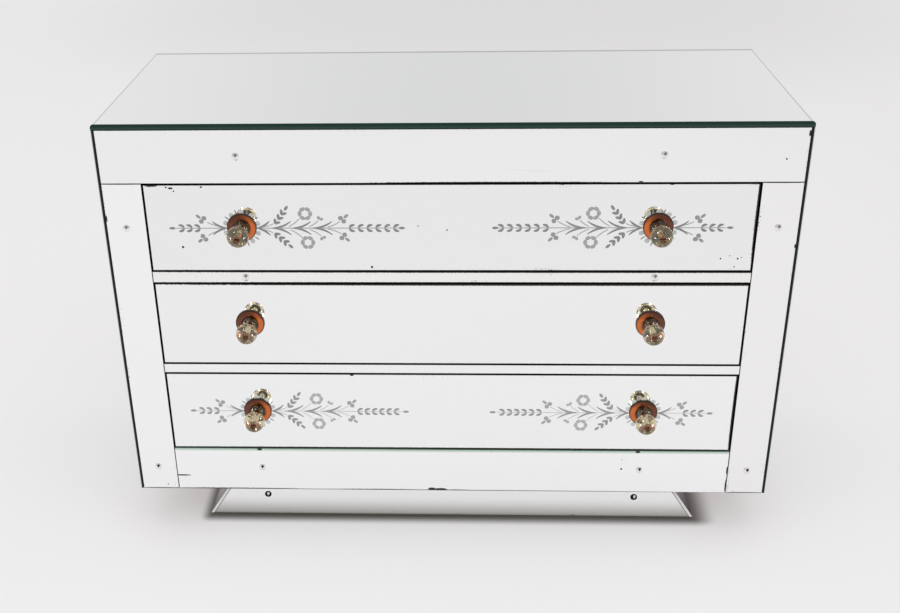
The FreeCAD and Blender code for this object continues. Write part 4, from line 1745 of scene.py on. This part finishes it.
@dataclass(frozen=True)
class FloorFinish(Finish):
    """Pale seamless paper with a faint mottle, and painted shade far behind the chest and to its right.

    Where it is seen, straight on or in a mirror, a share of it shows its own colour, which lightens its
    shadows. A painted shadow darkens it close to the foot of the chest.
    """

    pale: Colour = (0.86, 0.848, 0.853)
    dim: Colour = (0.84, 0.828, 0.835)
    # Painted shade far behind the chest
    behind: Colour = (0.755, 0.742, 0.747)
    behind_middle: tuple[float, float] = (0.2, 3.7)
    behind_size: tuple[float, float] = (2.2, 1.9)
    mottle_size: float = 0.8
    # Painted shade towards the chest's right
    tints: tuple[Tint, ...] = (Tint(Axis.ACROSS, 0.45, 1.4, (0.83, 0.816, 0.82)),)
    own_share: float = 0.43
    foot_low: tuple[float, float] = (0.0, 0.0)
    foot_high: tuple[float, float] = (0.0, 0.0)
    low_reach: tuple[float, float] = (0.022, 0.023)
    high_reach: tuple[float, float] = (0.044, 0.03)
    foot_shade: Colour = (0.17, 0.153, 0.147)
    roughness: float = 0.9
    gloss: float = 0.0

    def colour(self, graph: Graph) -> Link:
        """Colour of the paper: pale, with painted shade behind the chest and to its right, and a painted
        shadow at its foot.

        Args:
            graph: Graph of the material.

        Returns:
            The colour's socket.
        """
        across, away, _ = graph.axes()
        across = (across - self.behind_middle[0]) / self.behind_size[0]
        away = (away - self.behind_middle[1]) / self.behind_size[1]
        near = 1.0 - (across * across + away * away).rising(0.0, 1.0)
        paper = graph.tinted(graph.blend(graph.noise(self.mottle_size), self.pale, self.dim), self.tints)
        return graph.blend(self.foot(graph), graph.blend(near, paper, self.behind), self.foot_shade)

    def foot(self, graph: Graph) -> Value:
        """Painted shadow round the chest's foot, full at its outline and none past its reach on each side.

        Args:
            graph: Graph of the material.

        Returns:
            The share of the shade.
        """
        gaps = [
            ((self.foot_low[axis] - value) / self.low_reach[axis])
            .most((value - self.foot_high[axis]) / self.high_reach[axis])
            .most(0.0)
            for axis, value in enumerate(graph.axes()[:2])
        ]
        return apart(*gaps).rising(1.0, 0.0)

    def paint(self, graph: Graph) -> dict[str, Any]:
        """Matt paper."""
        gloss = {"Roughness": self.roughness, "Specular IOR Level": self.gloss}
        return {"Base Color": self.colour(graph), **gloss}

    def surface(self, graph: Graph) -> bpy.types.NodeSocket:
        """Paper's shader, mixed with its own colour.

        Args:
            graph: Graph of the material.

        Returns:
            The mixed shader's socket.
        """
        seen = graph.rays("Camera", "Glossy", "Transmission")
        own = graph.node("Emission", None, {"Color": self.colour(graph)}).outputs[0]
        shaders = {0: seen * self.own_share, 1: super().surface(graph), 2: own}
        return graph.node("MixShader", None, shaders).outputs[0]


class Lamp(NamedTuple):
    """Rectangular lamp: its place, the point that it looks at, its sides and its power."""

    name: str
    place: Place
    target: Place
    sides: tuple[float, float]
    power: float


@dataclass(frozen=True)
class Studio:
    """Floor, lamps, surroundings and camera."""

    floor_half: float = 9.0
    floor_drop: float = 0.0003
    floor_cells: int = 8
    lamps: tuple[Lamp, ...] = (
        Lamp("overhead_softbox", (0.0, -0.6, 3.4), (0.0, -0.3, 0.0), (3.3, 3.0), 20.0),
        Lamp("left_softbox", (-2.8, -2.4, 1.9), (0.0, -0.2, 0.4), (1.8, 2.1), 7.4),
        Lamp("right_softbox", (2.8, -2.4, 1.9), (0.0, -0.2, 0.4), (1.8, 2.1), 7.4),
    )
    glints: tuple[Lamp, ...] = (
        Lamp("left_glint", (-1.4, -0.7, 0.3), (0.0, -0.2, 0.4), (0.5, 0.5), 14.0),
        Lamp("right_glint", (1.4, -0.7, 0.3), (0.0, -0.2, 0.4), (0.5, 0.5), 14.0),
        Lamp("high_glint", (-1.0, -0.6, 1.9), (0.0, -0.2, 0.4), (0.4, 0.4), 8.0),
    )
    front_light: Colour = (1.03, 1.03, 1.04)
    back_light: Colour = (0.57, 0.57, 0.575)
    far_wall: Colour = (0.775, 0.762, 0.767)
    backdrop_middle: Colour = (0.72, 0.73, 0.725)
    backdrop_side: Colour = (0.86, 0.86, 0.86)
    dark_room: Colour = (0.6, 0.6, 0.59)
    backdrop_range: tuple[float, float] = (0.0, 0.45)
    room_lift: float = 0.6
    room_range: tuple[float, float] = (-0.1, 0.5)
    light_range: tuple[float, float] = (-0.8, 0.6)
    diffuse_limit: float = 0.5
    camera_place: Place = (0.0206, -1.7412, 1.1906)
    camera_turn: Place = (63.485, 1.012, 2.26)
    camera_shift: float = 0.0428
    lens: float = 47.428
    sensor: float = 36.0

    def lay_floor(self, palette: Palette) -> None:
        """Lays the floor: an even grid of points at one height, just under the plinth.

        Args:
            palette: Palette that holds the materials.
        """
        line = np.linspace(-self.floor_half, self.floor_half, self.floor_cells + 1)
        x, y = np.meshgrid(line, line, indexing="ij")
        points = np.stack([x, y, np.full_like(x, -self.floor_drop)], axis=-1)
        index = np.arange(x.size).reshape(x.shape)
        quads = np.stack([index[:-1, :-1], index[1:, :-1], index[1:, 1:], index[:-1, 1:]], axis=-1)
        surface = Surface(points.reshape(-1, 3), quads.reshape(-1, 4), np.empty((0, 3), int))
        floor = new_piece("paper_floor", surface)
        front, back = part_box("plinth_front_board"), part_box("plinth_back_board")
        corners = {"foot_low": tuple(front[0].xy), "foot_high": tuple(back[1].xy)}
        palette.dress(floor, FloorFinish("seamless_paper", **corners))

    @staticmethod
    def hang(lamp: Lamp) -> bpy.types.Object:
        """Hangs a lamp, turned to its target and unseen by the camera.

        Args:
            lamp: Lamp to hang.

        Returns:
            The lamp's object.
        """
        light = bpy.data.lights.new(lamp.name, "AREA")
        light.shape = "RECTANGLE"
        light.size, light.size_y = lamp.sides
        light.energy = lamp.power
        holder = bpy.data.objects.new(lamp.name, light)
        holder.location = lamp.place
        aim = Vector(lamp.target) - Vector(lamp.place)
        holder.rotation_euler = aim.to_track_quat("-Z", "Y").to_euler()
        holder.visible_camera = False
        bpy.context.scene.collection.objects.link(holder)
        return holder

    def hang_lamps(self) -> None:
        """Hangs the soft lamps, which stay out of the mirrors."""
        for lamp in self.lamps:
            self.hang(lamp).visible_glossy = False

    def add_glints(self, glasses: Sequence[bpy.types.Object]) -> None:
        """Hangs the small lamps that only put highlights on the knobs' glass.

        Args:
            glasses: The glass of all knobs.
        """
        lit = bpy.data.collections.new("knob_glass")
        for piece in glasses:
            lit.objects.link(piece)
        for lamp in self.glints:
            self.hang(lamp).light_linking.receiver_collection = lit

    def surround(self) -> None:
        """Makes the surroundings: soft light, mostly from the front, and a plain far wall for the camera.

        Reflections and glass show a pale backdrop behind the chest and a dimmer room before it. Light that a
        matt surface has already scattered isn't counted among them.
        """
        world = bpy.data.worlds.new("studio")
        world.use_nodes = True
        graph = Graph(world.node_tree)
        parts = graph.node("SeparateXYZ", None, {0: graph.node("TexCoord").outputs["Generated"]}).outputs
        sideways, away, up = (Value(graph, part) for part in parts)
        beside = abs(sideways)
        backdrop = graph.blend(
            beside.rising(*self.backdrop_range), self.backdrop_middle, self.backdrop_side
        )
        behind = (away + self.room_lift - up).rising(*self.room_range)
        room = graph.blend(behind, self.dark_room, backdrop)
        light = graph.blend((away - beside).rising(*self.light_range), self.front_light, self.back_light)
        diffused = Value(graph, graph.node("LightPath").outputs["Diffuse Depth"]) > self.diffuse_limit
        seen = graph.rays("Glossy", "Transmission") * (1.0 - diffused)
        camera = graph.rays("Camera")
        colour = graph.blend(camera, graph.blend(seen, light, room), self.far_wall)
        shown = graph.node("Background", None, {"Color": colour}).outputs[0]
        graph.node("OutputWorld", None, {"Surface": shown})
        bpy.context.scene.world = world

    def place_camera(self) -> None:
        """Sets the camera where the photograph was taken from."""
        camera = bpy.data.cameras.new("camera")
        camera.lens = self.lens
        camera.sensor_width = self.sensor
        camera.shift_x = self.camera_shift
        holder = bpy.data.objects.new("camera", camera)
        holder.location = self.camera_place
        holder.rotation_euler = tuple(math.radians(turn) for turn in self.camera_turn)
        bpy.context.scene.collection.objects.link(holder)
        bpy.context.scene.camera = holder

    def build(self, palette: Palette) -> None:
        """Sets up the whole studio.

        Args:
            palette: Palette that holds the materials.
        """
        bpy.context.scene.view_settings.view_transform = "Standard"
        self.lay_floor(palette)
        self.hang_lamps()
        self.surround()
        self.place_camera()


def main() -> None:
    """Loads the frame, sets up the studio and dresses the frame piece by piece."""
    logging.basicConfig(level=logging.INFO, format="%(message)s")
    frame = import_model()
    palette = Palette()
    studio = Studio()
    studio.build(palette)
    nodes = frame["nodes"]
    Carcase().dress(nodes, palette)
    Cladding().dress(nodes, palette)
    for drawer in DRAWERS:
        drawer.build(nodes, palette)
    studio.add_glints([bpy.data.objects[f"{drawer.name}_turned_glasses"] for drawer in DRAWERS])


if __name__ == "__main__":
    main()
